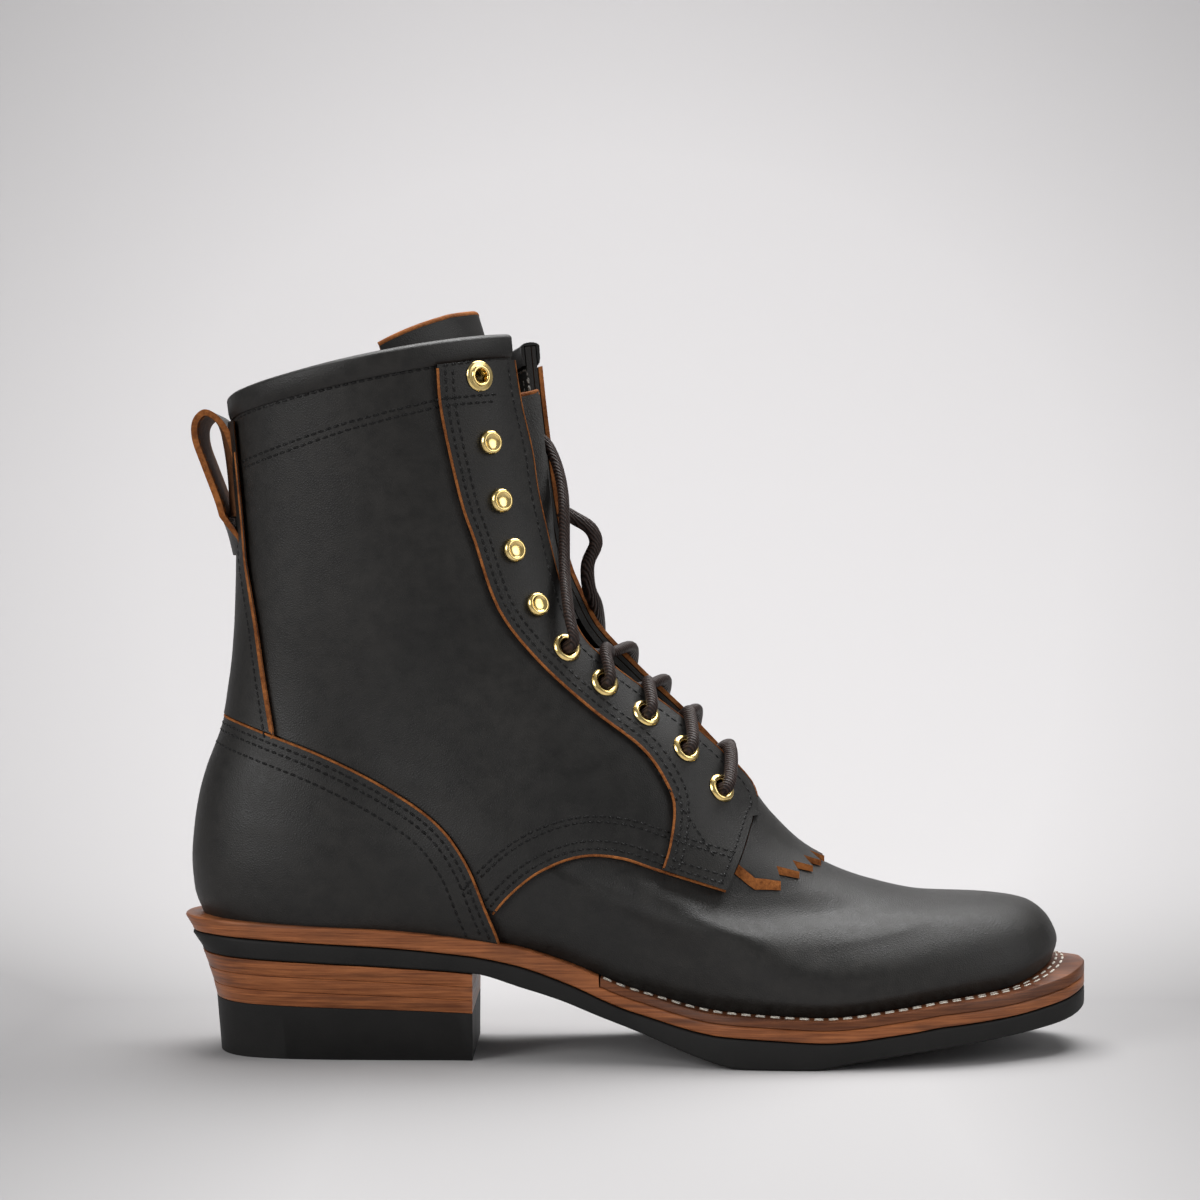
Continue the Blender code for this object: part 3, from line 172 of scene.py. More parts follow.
# Side-view outlines of the panels, (x, z), each a smooth run through its points
FRONT_LATERAL = ((184.0, 57.0), (189.0, 67.7), (192.4, 76.0), (194.1, 81.5), (192.3, 88.5), (187.0, 95.0),
                 (173.5, 107.5), (156.0, 121.0), (142.5, 131.5), (134.0, 140.5), (127.0, 157.0),
                 (119.5, 187.0), (116.8, 204.0), (113.0, 221.0), (109.8, 243.0), (108.5, 252.0))
FRONT_MEDIAL = ((184.0, 57.0), (189.0, 67.7), (192.6, 76.0), (195.0, 81.5), (192.8, 88.0), (186.8, 95.5),
                (171.0, 112.0), (156.0, 126.0), (141.0, 141.5), (134.5, 153.0), (128.6, 167.5),
                (124.6, 188.0), (121.7, 209.0), (119.8, 225.0), (118.0, 243.0), (117.3, 252.0))
THROAT_BASE_LEVEL = 0.643
PANEL_TURN_Z = 81.0
PANEL_NOSE = 2.2
PANEL_NOSE_Z = 97.0
PANEL_NOSE_STEP = 0.1
PANEL_NOSE_RISE = 1.0
EYESTAY_FRONT_X = 125.0
EYESTAY_BACK = ((88.3, 240.0), (88.6, 230.0), (90.0, 214.5), (96.0, 187.0), (100.5, 173.5), (108.5, 150.5),
                (121.5, 133.5), (139.0, 117.5), (156.5, 104.0), (164.8, 92.0), (167.0, 84.0),
                (165.5, 72.5), (163.0, 64.6))
QUARTER_ARCH = ((107.0, 49.0), (112.5, 55.5), (122.5, 63.5), (136.0, 68.5), (149.0, 68.0), (161.5, 64.0),
                (184.0, 57.0))
LINING_SEAMS = (((109.0, 232.5), (113.0, 233.6), (116.0, 234.2), (116.9, 233.4), (117.6, 228.0),
                 (118.4, 222.0)),
                ((115.4, 231.0), (116.2, 225.0)))
SHAFT_FACING = ((22.4, 197.8), (59.1, 209.5), (89.1, 217.5), (109.0, 220.2))
EYESTAY_SLANT = ((148.5, 112.0), (159.1, 100.2), (170.0, 84.0), (181.4, 66.8))
COUNTER_TOP = ((-5.0, 117.5), (4.0, 116.5), (13.0, 114.5), (30.0, 109.0), (50.0, 101.5), (71.0, 91.0),
               (88.0, 79.5), (98.0, 66.5), (104.5, 51.0), (108.5, 41.0), (110.5, 33.0))
COUNTER_BELOW = ((112.0, 20.0), (CUT_BACK_X, 20.0), (CUT_BACK_X, 117.5))
BACKSTAY_EDGE = ((18.7, 222.0), (18.9, 213.0), (20.2, 198.0), (22.0, 179.0), (23.1, 167.0), (25.0, 156.4),
                 (27.2, 144.4), (29.5, 129.3), (33.0, 109.7), (33.6, 106.0))
BACKSTAY_TOP_X = 18.0
BACKSTAY_LOW_X = 33.5
BACKSTAY_STEP = 0.5

# Eyelets, hooks, kiltie, tongue, gussets, pull loop and lace
FASTENERS = ((181.2, 88.6, "eyelet"), (169.6, 101.7, "eyelet"), (156.3, 113.3, "eyelet"),
             (142.4, 124.1, "eyelet"), (129.6, 136.0, "eyelet"), (119.2, 151.1, "hook"),
             (111.4, 169.7, "hook"), (107.0, 186.5, "hook"), (103.4, 205.9, "hook"), (100.2, 228.0, "eyelet"))
EYELET_BORE = 3.0
HOLE_REACH = 9.0
HOLE_SIDES = 24
EYELET_HEIGHT = 1.1
HARDWARE_GAP = 0.6
KILTIE_TOP_Z = 89.0
KILTIE_EDGE_Z = 91.0
KILTIE_CLEARANCE = 0.6
KILTIE_FRONT_X = 219.8
KILTIE_BACK_X = 170.0
KILTIE_LOW_Z = 40.0
KILTIE_SWING = 0.7
KILTIE_HALF_WIDTH = 33.0
KILTIE_DROP = 21.0
KILTIE_TEETH = 10
KILTIE_TOOTH = 4.8
TONGUE_LOW_LEVEL = 0.62
TONGUE_THICKNESS = 1.8
TONGUE_DEPTH = ((0.62, 2.35), (0.645, 4.6), (0.68, 7.8), (0.75, 8.5), (0.87, 8.5), (0.955, 11.0), (1.0, 15.5))
TONGUE_REACH = ((0.62, 0.1765), (0.75, 0.26), (0.9, 0.32), (1.0, 0.42))
TONGUE_RISE = 11.0
TONGUE_ROUND = 0.7
TONGUE_RIM = 0.15
TONGUE_LEAN = 0.3
GUSSET_THICKNESS = 1.5
GUSSET_CLEARANCE = 1.9
GUSSET_INNER_TURN = 0.08
GUSSET_MEDIAL_Y = 3.0
GUSSET_LIFT = ((0.0, 0.17, 0.5, 0.67, 1.0), (-2.5, -2.5, 3.0, 2.0, 0.0))
GUSSET_CREASE = ((147.0, 133.5, 5.5), (156.0, 130.0, 6.0), (164.0, 127.8, 6.0), (174.0, 126.2, 6.0),
                 (186.0, 125.0, 6.0), (200.0, 123.6, 6.5), (212.0, 122.2, 7.0), (223.0, 120.8, 8.0))
GUSSET_LOW_LEVEL = 0.76
GUSSET_FOLD = (-2.2, 1.6)
GUSSET_HOLD_TURN = 0.04
GUSSET_OFF_TONGUE = 0.4
GUSSET_RIM = 0.1
PULL_LOOP_THICKNESS = 2.1
PULL_LOOP_WIDTH = 29.0
PULL_LOOP = ((16.0, 182.0), (15.2, 196.0), (13.6, 208.0), (11.8, 214.5), (8.2, 217.2), (5.0, 214.0),
             (5.0, 208.0), (8.0, 199.5), (12.0, 189.0), (13.9, 183.0), (15.2, 176.0), (16.3, 169.0))
PULL_LOOP_BEND = ((182.0, 1.0), (196.0, 1.0), (208.0, 0.7), (217.5, 0.0))
PULL_LOOP_ROUND = 23.0
PULL_LOOP_END = 12
PULL_LOOP_TIP = 0.5
PULL_LOOP_EASE = 8.0
PULL_LOOP_EDGE = 0.4
PULL_LOOP_STITCH_INSET = 2.6
LACE_RADIUS = 1.9
LACE_GAP = 0.5
LACE_EDGE = 0.78
LACE_CENTRE = 1.0
LACE_UNDER = 1.12
LACE_MIDDLE = -0.5
LACE_CROSSINGS = 4
LACE_END_LATERAL = ((133.8, -28.5, 140.0), (132.4, -26.8, 147.0), (131.2, -22.5, 155.0),
                    (130.4, -16.8, 164.0), (130.3, -13.5, 174.0), (130.2, -12.0, 184.0),
                    (129.5, -8.5, 192.0), (127.6, -5.0, 200.0), (124.6, -2.2, 206.5), (121.6, -1.75, 209.5))
LACE_END_MEDIAL = ((142.0, 26.5, 140.2), (141.2, 12.4, 150.8), (138.6, 4.5, 157.5), (138.2, 0.0, 166.0),
                   (141.0, -1.0, 173.0), (139.0, -1.5, 178.2), (133.6, -1.5, 181.7), (128.6, -1.5, 184.5))

# Fineness of the pieces made here
COLUMNS = 96
LEVEL_COUNT = 110
FEWEST = 12
RIM_SPACING = 1.0
RIM_SIDES = 10
SOLE_TURNS = 150
SOLE_END_ANGLE = 0.012
HEEL_TURNS = 60
HEEL_END_ANGLE = 0.02


def smooth(points, x):
    """Monotone cubic through (x, y) points: passes through each and never overshoots."""
    xs = np.array([p[0] for p in points], float)
    ys = np.array([p[1] for p in points], float)
    step = np.diff(xs)
    slope = np.diff(ys) / step
    tangent = np.empty_like(ys)
    tangent[0] = slope[0]
    tangent[-1] = slope[-1]
    product = slope[:-1] * slope[1:]
    total = np.where(slope[:-1] + slope[1:] == 0, 1, slope[:-1] + slope[1:])
    tangent[1:-1] = np.where(product > 0, 2 * product / total, 0)
    x = np.clip(x, xs[0], xs[-1])
    i = np.clip(np.searchsorted(xs, x, side="right") - 1, 0, len(xs) - 2)
    h = step[i]
    f = (x - xs[i]) / h
    start = (1 + 2 * f) * (1 - f) ** 2 * ys[i] + f * (1 - f) ** 2 * h * tangent[i]
    end = f * f * (3 - 2 * f) * ys[i + 1] + f * f * (f - 1) * h * tangent[i + 1]
    return start + end


def spline(points, steps=6):
    """A smooth run through listed points."""
    points = [np.array(p, float) for p in points]
    padded = [2 * points[0] - points[1]] + points + [2 * points[-1] - points[-2]]
    run = []
    for a, b, c, d in zip(padded, padded[1:], padded[2:], padded[3:]):
        for i in range(steps):
            f = i / steps
            run.append(0.5 * (2 * b + (c - a) * f + (2 * a - 5 * b + 4 * c - d) * f ** 2
                              + (3 * b - a - 3 * c + d) * f ** 3))
    return run + [points[-1]]


def unit(vectors):
    """Vectors of length one in the given directions."""
    return vectors / np.linalg.norm(vectors, axis=-1, keepdims=True)


def left_of(line):
    """Unit vectors to the left of a line of plan or side-view points."""
    along = unit(np.gradient(line, axis=0))
    return np.stack([-along[:, 1], along[:, 0]], axis=1)


def lengths_along(line):
    """Length of a line of points up to each of them."""
    return np.append(0.0, np.cumsum(np.linalg.norm(np.diff(line, axis=0), axis=1)))


def at_lengths(places, lengths, rows):
    """Rows of values at some lengths along a line."""
    return np.column_stack([np.interp(places, lengths, column) for column in rows.T])


@functools.lru_cache(None)
def ring_row(level):
    """Sizes of the ring at a level, by column name."""
    level = float(np.clip(level, 0, 1))
    return {name: float(smooth([(row[0], row[k]) for row in RINGS], level))
            for k, name in enumerate(RING_COLUMNS)}


def round_ended_width(along, stations, length, start_round, end_round):
    """Half width at a share of a length: sizes given at stations, with ends of the given radii."""
    fullness = [(0.0, math.sqrt(start_round * length / 2))]
    fullness += [(s, w / (2 * math.sqrt(s * (1 - s)))) for s, w in stations]
    fullness += [(1.0, math.sqrt(end_round * length / 2))]
    return 2 * np.sqrt(along * (1 - along)) * smooth(fullness, along)


def dip(along, level):
    """Share of a ring's sag at shares of its length."""
    low = max(0.0, 1.0 - level / TOE_DIP_LEVEL)
    return smooth(DIP, along) + low * smooth(TOE_DIP, along)


def upper_ring(level, turn):
    """Points of the upper's outer face. turn is 0 on the ridge, -1 to 0 outer side, 0 to 1 inner side."""
    ring = ring_row(level)
    turn = (np.asarray(turn, float) + 1) % 2 - 1
    along = (1 + np.cos(np.pi * turn)) / 2
    length = ring["front_x"] - ring["back_x"]
    stations = [(s, ring["w%d" % round(100 * s)]) for s in WIDTH_STATIONS]
    half = round_ended_width(along, stations, length, ring["heel_round"], ring["toe_round"])
    x = ring["back_x"] + along * length
    z = ring["back_z"] + along * (ring["front_z"] - ring["back_z"]) - ring["sag"] * dip(along, level)
    y = ring["swing"] * smooth(SWING, x) + np.sign(turn) * half
    return np.stack([x + ring["twist"] * y, y, z], axis=-1)


def upper_face(level, turn, offset):
    """Points at a distance outside the upper's outer face, along its normal."""
    low = max(level - SMALL_STEP, 0.0)
    high = min(level + SMALL_STEP, 1.0)
    turn = np.asarray(turn)
    across = upper_ring(level, turn + SMALL_STEP) - upper_ring(level, turn - SMALL_STEP)
    upward = upper_ring(high, turn) - upper_ring(low, turn)
    face = upper_ring(level, turn)
    moved = face + unit(np.cross(across, upward)) * offset
    if level == 0.0:
        moved[..., 2] = face[..., 2]
    return moved


def feather_z(x):
    """Height of the upper's lower edge against x."""
    ring = ring_row(0.0)
    along = np.clip((np.asarray(x, float) - ring["back_x"]) / (ring["front_x"] - ring["back_x"]), 0, 1)
    chord = ring["back_z"] + along * (ring["front_z"] - ring["back_z"])
    return chord - ring["sag"] * dip(along, 0.0)


def sole_edge_z(x):
    """Height of the sole's upper edge: the upper's lower edge, and a little below it round the toe."""
    edge = feather_z(x)
    return np.where(x > SOLE_TOE_X, np.minimum(edge, smooth(SOLE_TOE_EDGE, x)), edge)


def sole_outline(along):
    """x, outer y and inner y of the sole's edge at shares of its length."""
    half = round_ended_width(along, SOLE_HALF_WIDTHS, SOLE_LENGTH, SOLE_HEEL_ROUND, SOLE_TOE_ROUND)
    x = along * SOLE_LENGTH
    middle = smooth(SWING, x)
    return x, middle - half, middle + half


def box_centre_y():
    """Middle of the sole's width, which is the middle of the whole boot's."""
    along = (1 - np.cos(np.linspace(0, np.pi, 400))) / 2
    _, outer, inner = sole_outline(along)
    return (outer.min() + inner.max()) / 2


ORIGIN = np.array([SOLE_LENGTH / 2, box_centre_y(), 0.0])


def to_frame(points):
    """Metres in the model's frame, from millimetres in the boot's own sizes."""
    return (np.asarray(points, float) - ORIGIN) / 1000.0


@functools.lru_cache(None)
def front_edge(side):
    """Front edge of the quarter on one side, (x, z)."""
    return np.array(spline(FRONT_MEDIAL if side > 0 else FRONT_LATERAL))


@functools.lru_cache(None)
def edge_turn(level, side):
    """Turn at which a ring of the upper meets the throat's edge on one side."""
    turns = side * THROAT_SEARCH_TURNS
    ring = upper_ring(level, turns)
    edge = front_edge(side)
    ahead = ring[:, 0] - np.interp(ring[:, 2], edge[:, 1], edge[:, 0])
    return float(turns[int(np.argmax(ahead > 0))])


@functools.lru_cache(None)
def stay_edge(side):
    """Front edge of the eyestay's outer face on one side, (x, z), from its tip up to the binding."""
    low = [p for p in front_edge(side) if p[1] < PANEL_TURN_Z]
    levels = np.linspace(THROAT_BASE_LEVEL + SMALL_STEP, 1.0, 60)
    high = [upper_face(v, edge_turn(v, side), STAY_OUT)[[0, 2]] for v in levels]
    turn_z = low[-1][1] + STAY_EDGE_STEP
    high = [p for p in high if turn_z < p[1] < collar_z(p[0], side) - BINDING_HEIGHT]
    return np.array(low + high)


def collar_z(x, side=-1):
    """Height of the collar against x, on one side."""
    ring = upper_ring(1.0, side * COLLAR_TURNS)
    return float(np.interp(x, ring[:, 0], ring[:, 2]))


def on_upper(x, z, side):
    """Level and turn of the point of the upper's face that a side view shows at (x, z)."""
    levels = np.linspace(SEARCH_LEVELS[0], 1.0, 57)
    turns = side * np.linspace(NOSE_TURN, 0.9, 60)
    rows = np.stack([upper_ring(v, turns) for v in levels])
    miss = (rows[..., 0] - x) ** 2 + (rows[..., 2] - z) ** 2
    row, column = np.unravel_index(miss.argmin(), miss.shape)
    level = float(levels[row])
    turn = turns[column]
    small = 1e-4
    for _ in range(12):
        here = upper_ring(level, turn)
        by_level = (upper_ring(min(level + small, 1.0), turn) - upper_ring(level - small, turn)) / (2 * small)
        by_turn = (upper_ring(level, turn + small) - upper_ring(level, turn - small)) / (2 * small)
        change = np.linalg.lstsq(np.array([[by_level[0], by_turn[0]], [by_level[2], by_turn[2]]]),
                                 np.array([x - here[0], z - here[2]]), rcond=None)[0]
        level = float(np.clip(level + change[0], *SEARCH_LEVELS))
        turn = side * float(np.clip(side * (turn + change[1]), NOSE_TURN, SEARCH_BACK_TURN))
    return level, turn


@functools.lru_cache(None)
def seat(x, z, side):
    """Level, point and outward direction on the upper's face, from a side-view place."""
    level, turn = on_upper(x, z, side)
    point = upper_face(level, turn, 0.0)
    return level, point, unit(upper_face(level, turn, 1.0) - point)


def eyelet_places(side):
    """Side-view places of the eyelets and hooks on one side, from the toe up, with their kinds."""
    places = []
    for x, z, kind in FASTENERS:
        if side > 0:
            edges = (FRONT_MEDIAL, FRONT_LATERAL)
            medial_x, lateral_x = [np.interp(z, *np.transpose(edge)[::-1]) for edge in edges]
            x = x + medial_x - lateral_x
        places.append((float(x), z, kind))
    return places


# Materials

# Places of the sockets of a mix node that mixes colours
MIX_SHARE = 0
MIX_DARK = 6
MIX_LIGHT = 7
MIX_RESULT = 2


def put(tree, socket, value):
    """Links another node's output to a socket, or sets its value; a colour has three parts."""
    if isinstance(value, bpy.types.NodeSocket):
        tree.links.new(value, socket)
    elif socket.type == "RGBA":
        socket.default_value = (*value, 1.0)
    else:
        socket.default_value = value


def node(tree, kind, inputs=None, **settings):
    """A shader node with its settings; an input is a value or another node's output."""
    made = tree.nodes.new("ShaderNode" + kind)
    for key, value in settings.items():
        setattr(made, key, value)
    for key, value in (inputs or {}).items():
        put(tree, made.inputs[key], value)
    return made


def calculated(tree, operation, *values):
    """Result of a calculation on values or other nodes' outputs."""
    return node(tree, "Math", dict(enumerate(values)), operation=operation).outputs[0]


def noise(tree, where, scale, detail=3.0, roughness=0.55):
    """Noise value at object coordinates; scale is features per metre."""
    made = node(tree, "TexNoise", {"Vector": where, "Scale": scale, "Detail": detail, "Roughness": roughness})
    return made.outputs["Fac"]


def stretched(tree, where, scales):
    """Object coordinates stretched by a factor on each axis."""
    return node(tree, "Mapping", {"Vector": where, "Scale": scales}).outputs["Vector"]


def mixed(tree, share, dark, light):
    """Colour between two colours."""
    made = node(tree, "Mix", {MIX_SHARE: share, MIX_DARK: dark, MIX_LIGHT: light}, data_type="RGBA")
    return made.outputs[MIX_RESULT]


def ranged(tree, value, low, high, from_low=0.3, from_high=0.7):
    """A value carried from one range to another."""
    made = node(tree, "MapRange", {"Value": value, "From Min": from_low, "From Max": from_high,
                                   "To Min": low, "To Max": high})
    return made.outputs["Result"]


def bumped(tree, height, strength, depth, below=None):
    """Bump from a height, over an earlier bump."""
    made = node(tree, "Bump", {"Height": height, "Strength": strength, "Distance": depth})
    if below is not None:
        tree.links.new(below, made.inputs["Normal"])
    return made.outputs["Normal"]


def new_material(name):
    """A material, its node tree, its shader and its object coordinates."""
    made = bpy.data.materials.new(name)
    made.use_nodes = True
    tree = made.node_tree
    where = node(tree, "TexCoord").outputs["Object"]
    return made, tree, tree.nodes["Principled BSDF"], where


def join(tree, shader, **sockets):
    """Sets or links sockets of the shader; underscores stand for spaces."""
    for key, value in sockets.items():
        put(tree, shader.inputs[key.replace("_", " ")], value)


def leather_material(name, dark, light, rough_low, rough_high, grain):
    """Smooth waxed leather: cloudy colour, fine pores and faint pull marks."""
    made, tree, shader, where = new_material(name)
    cloud = noise(tree, where, 16.0, 4.0)
    mottle = noise(tree, where, 190.0, 4.0, 0.65)
    share = calculated(tree, "MULTIPLY", cloud, mottle)
    colour = mixed(tree, ranged(tree, share, 0.0, 1.0, 0.14, 0.42), dark, light)
    cells = node(tree, "TexVoronoi", {"Vector": where, "Scale": 1250.0}, feature="DISTANCE_TO_EDGE")
    pores = cells.outputs["Distance"]
    fine = noise(tree, where, 2600.0, 2.0)
    pull = noise(tree, stretched(tree, where, (1.0, 1.0, 0.45)), 75.0, 3.0)
    normal = bumped(tree, pull, 0.04, 0.004)
    normal = bumped(tree, pores, grain, 0.0006, normal)
    normal = bumped(tree, fine, grain * 0.6, 0.0004, normal)
    roughness = ranged(tree, mottle, rough_low, rough_high)
    join(tree, shader, Base_Color=colour, Roughness=roughness, Normal=normal, Specular_IOR_Level=0.42)
    return made


def raw_material(name, dark, light):
    """Cut or flesh side of leather: fibres in two browns."""
    made, tree, shader, where = new_material(name)
    fibres = noise(tree, where, 900.0, 4.0, 0.7)
    patches = noise(tree, where, 120.0, 3.0)
    share = calculated(tree, "MULTIPLY", fibres, patches)
    normal = bumped(tree, fibres, 0.5, 0.0006)
    join(tree, shader, Base_Color=mixed(tree, ranged(tree, share, 0.0, 1.0, 0.14, 0.36), dark, light),
         Roughness=0.75, Normal=normal, Specular_IOR_Level=0.15)
    return made


def stack_material(name, dark, light, darkest):
    """Burnished edge of sole leather: fine level streaks, some of them dark."""
    made, tree, shader, where = new_material(name)
    streak = noise(tree, stretched(tree, where, (0.03, 0.03, 1.0)), 1500.0, 4.0, 0.7)
    band = noise(tree, stretched(tree, where, (0.06, 0.06, 1.0)), 330.0, 3.0, 0.6)
    cloud = noise(tree, where, 45.0, 3.0)
    colour = mixed(tree, ranged(tree, streak, 0.0, 1.0, 0.36, 0.66), dark, light)
    colour = mixed(tree, ranged(tree, band, 0.0, 0.75, 0.52, 0.72), colour, darkest)
    colour = mixed(tree, ranged(tree, cloud, 0.0, 0.4, 0.45, 0.75), colour, darkest)
    normal = bumped(tree, streak, 0.25, 0.0005)
    join(tree, shader, Base_Color=colour, Roughness=ranged(tree, streak, 0.36, 0.52), Normal=normal,
         Specular_IOR_Level=0.3)
    return made


def rubber_material():
    """Matte black rubber with a fine moulded skin and a little dust."""
    made, tree, shader, where = new_material("rubber_black")
    skin = noise(tree, where, 1400.0, 3.0)
    dust = noise(tree, where, 60.0, 4.0)
    colour = mixed(tree, ranged(tree, dust, 0.0, 1.0), (0.0075, 0.0072, 0.007), (0.0145, 0.0138, 0.0132))
    join(tree, shader, Base_Color=colour, Roughness=ranged(tree, dust, 0.55, 0.7),
         Normal=bumped(tree, skin, 0.15, 0.0004), Specular_IOR_Level=0.25)
    return made


def brass_material():
    """Bright lacquered brass with faint turning marks."""
    made, tree, shader, where = new_material("brass_bright")
    tarnish = noise(tree, where, 500.0, 3.0)
    colour = mixed(tree, ranged(tree, tarnish, 0.0, 1.0), (0.88, 0.63, 0.22), (0.96, 0.75, 0.34))
    join(tree, shader, Base_Color=colour, Metallic=1.0, Roughness=0.2)
    return made


def lace_material(name, dark, light):
    """Waxed braid: small slanting bundles of yarn."""
    made, tree, shader, where = new_material(name)
    weave = node(tree, "TexWave", {"Vector": where, "Scale": 420.0, "Distortion": 3.0, "Detail": 2.0},
                 bands_direction="DIAGONAL").outputs["Fac"]
    yarn = noise(tree, where, 1500.0, 3.0)
    share = calculated(tree, "MULTIPLY", weave, yarn)
    normal = bumped(tree, weave, 0.5, 0.0006)
    normal = bumped(tree, yarn, 0.4, 0.0004, normal)
    join(tree, shader, Base_Color=mixed(tree, ranged(tree, share, 0.0, 1.0, 0.1, 0.5), dark, light),
         Roughness=0.5, Normal=normal, Specular_IOR_Level=0.3)
    return made


BLACK_LEATHER = leather_material("leather_charcoal", (0.0066, 0.0061, 0.0054), (0.018, 0.0164, 0.0145),
                                 0.43, 0.55, 0.22)
LINING = leather_material("leather_lining", (0.011, 0.010, 0.009), (0.024, 0.021, 0.018), 0.55, 0.7, 0.25)
# The gussets' leather is painted lighter than the charcoal of the rest: painted sheen
GUSSET_SHEEN_LEATHER = leather_material("leather_gusset_painted_sheen", (0.024, 0.023, 0.021), (0.047, 0.045, 0.042),
                                  0.3, 0.42, 0.2)
RAW_EDGE = raw_material("leather_raw_edge", (0.15, 0.045, 0.012), (0.40, 0.142, 0.038))
FLESH = raw_material("leather_flesh", (0.07, 0.027, 0.011), (0.16, 0.066, 0.027))
SOLE_LEATHER = stack_material("sole_leather_edge", (0.19, 0.056, 0.018), (0.42, 0.145, 0.049),
                              (0.065, 0.021, 0.009))
WELT_LEATHER = stack_material("welt_leather_edge", (0.085, 0.026, 0.010), (0.20, 0.068, 0.025),
                              (0.035, 0.012, 0.006))
RUBBER = rubber_material()
BRASS = brass_material()
LACE = lace_material("lace_waxed", (0.012, 0.0072, 0.006), (0.05, 0.028, 0.022))
DARK_THREAD = lace_material("thread_dark", (0.0022, 0.002, 0.002), (0.0065, 0.006, 0.0056))
PALE_THREAD = lace_material("thread_pale", (0.62, 0.56, 0.47), (0.88, 0.84, 0.76))
GREY_THREAD = lace_material("thread_grey", (0.16, 0.15, 0.135), (0.34, 0.32, 0.29))


# Meshes

SHARP_ANGLE = 38.0
CORD_SHARP_ANGLE = 60.0
THREAD_SHARP_ANGLE = 70.0
CORD_UP = Vector((0.3, 0.2, 1.0))


def new_object(name, data):
    """An object in the scene, from its data."""
    made = bpy.data.objects.new(name, data)
    bpy.context.scene.collection.objects.link(made)
    return made


def make_object(name, points, faces, materials=(), indices=None, sharp=SHARP_ANGLE):
    """An object from points in millimetres, with faces turned outwards and shaded smooth."""
    mesh = bpy.data.meshes.new(name)
    mesh.from_pydata([tuple(p) for p in to_frame(points)], [], [tuple(f) for f in faces])
    for made in materials:
        mesh.materials.append(made)
    if indices is not None:
        mesh.polygons.foreach_set("material_index", list(indices))
    tidy_mesh(mesh, sharp)
    return new_object(name, mesh)


def tidy_mesh(mesh, sharp):
    """Joins doubled points, turns faces outwards and shades smooth but for sharp edges."""
    work = bmesh.new()
    work.from_mesh(mesh)
    bmesh.ops.remove_doubles(work, verts=work.verts, dist=1e-6)
    bmesh.ops.recalc_face_normals(work, faces=work.faces)
    if work.calc_volume(signed=True) < 0:
        bmesh.ops.reverse_faces(work, faces=work.faces)
    work.to_mesh(mesh)
    work.free()
    mesh.shade_smooth()
    mesh.set_sharp_from_angle(angle=math.radians(sharp))


def dress(piece, slot, *nodes):
    """Puts a piece on the model, in the place of its solids."""
    if nodes:
        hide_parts(*nodes)
    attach(piece, "root")
    return piece


def cut(piece, *cuts):
    """Cuts a piece by cutters, or keeps what is inside them; cut faces take the cutters' material index."""
    for cutter, operation in cuts:
        step = piece.modifiers.new(operation.lower(), "BOOLEAN")
        step.object = cutter
        step.operation = operation
        step.solver = "EXACT"
        step.material_mode = "INDEX"
    graph = bpy.context.evaluated_depsgraph_get()
    mesh = bpy.data.meshes.new_from_object(piece.evaluated_get(graph))
    old = piece.data
    piece.modifiers.clear()
    piece.data = mesh
    bpy.data.meshes.remove(old)
    mesh.shade_smooth()
    mesh.set_sharp_from_angle(angle=math.radians(SHARP_ANGLE))
    return piece


CUTTERS = []
OUTSIDE, INSIDE, EDGE, THROAT = range(4)


def make_cutter(name, points, faces, index=EDGE):
    """A cutter whose faces leave edges of one material index."""
    made = make_object(name, points, faces)
    made.data.materials.append(None)
    made.data.polygons.foreach_set("material_index", [index] * len(made.data.polygons))
    CUTTERS.append(made)
    return made


def remove_cutters():
    """Takes the cutters out of the scene."""
    for made in CUTTERS:
        bpy.data.objects.remove(made, do_unlink=True)


def sheet_solid(outer, inner, closed):
    """Points, faces and material indices of the solid between two grids of points of one shape."""
    rows, columns = outer.shape[:2]
    half = rows * columns
    points = np.concatenate([outer.reshape(-1, 3), inner.reshape(-1, 3)])
    faces = []
    last = columns if closed else columns - 1
    for r in range(rows - 1):
        for c in range(last):
            a = r * columns + c
            b = r * columns + (c + 1) % columns
            faces.append((a, b, b + columns, a + columns))
    count = len(faces)
    faces += [tuple(i + half for i in f[::-1]) for f in faces]
    ids = np.arange(half).reshape(rows, columns)
    edges = [(ids[0], closed), (ids[-1], closed)]
    if not closed:
        edges += [(ids[:, 0], False), (ids[:, -1], False)]
    for row, loop in edges:
        n = len(row)
        for i in range(n if loop else n - 1):
            j = (i + 1) % n
            faces.append((row[i], row[j], row[j] + half, row[i] + half))
    indices = [OUTSIDE] * count + [INSIDE] * count + [EDGE] * (len(faces) - 2 * count)
    return points, faces, indices


def upper_layer(name, inside, outside, materials, low=0.0, high=1.0, turns=None):
    """A layer between two offsets of the upper's face."""
    levels = np.linspace(low, high, max(FEWEST, round(LEVEL_COUNT * (high - low))))
    closed = turns is None
    if closed:
        grid = np.linspace(-1, 1, 2 * COLUMNS + 1)[:-1]
    else:
        grid = np.linspace(turns[0], turns[1], max(FEWEST, round(COLUMNS * (turns[1] - turns[0]))))
    outer = np.stack([upper_face(v, grid, outside) for v in levels])
    inner = np.stack([upper_face(v, grid, inside) for v in levels])
    points, faces, indices = sheet_solid(outer, inner, closed)
    return make_object(name, points, faces, materials, indices)


def tube_faces(count, sides, closed_ends=True):
    """Faces of a tube of rings of points."""
    faces = []
    if closed_ends:
        faces = [tuple(range(sides)), tuple((count - 1) * sides + k for k in range(sides - 1, -1, -1))]
    for i in range(count - 1):
        for k in range(sides):
            a = i * sides + k
            b = i * sides + (k + 1) % sides
            faces.append((a, b, b + sides, a + sides))
    return faces


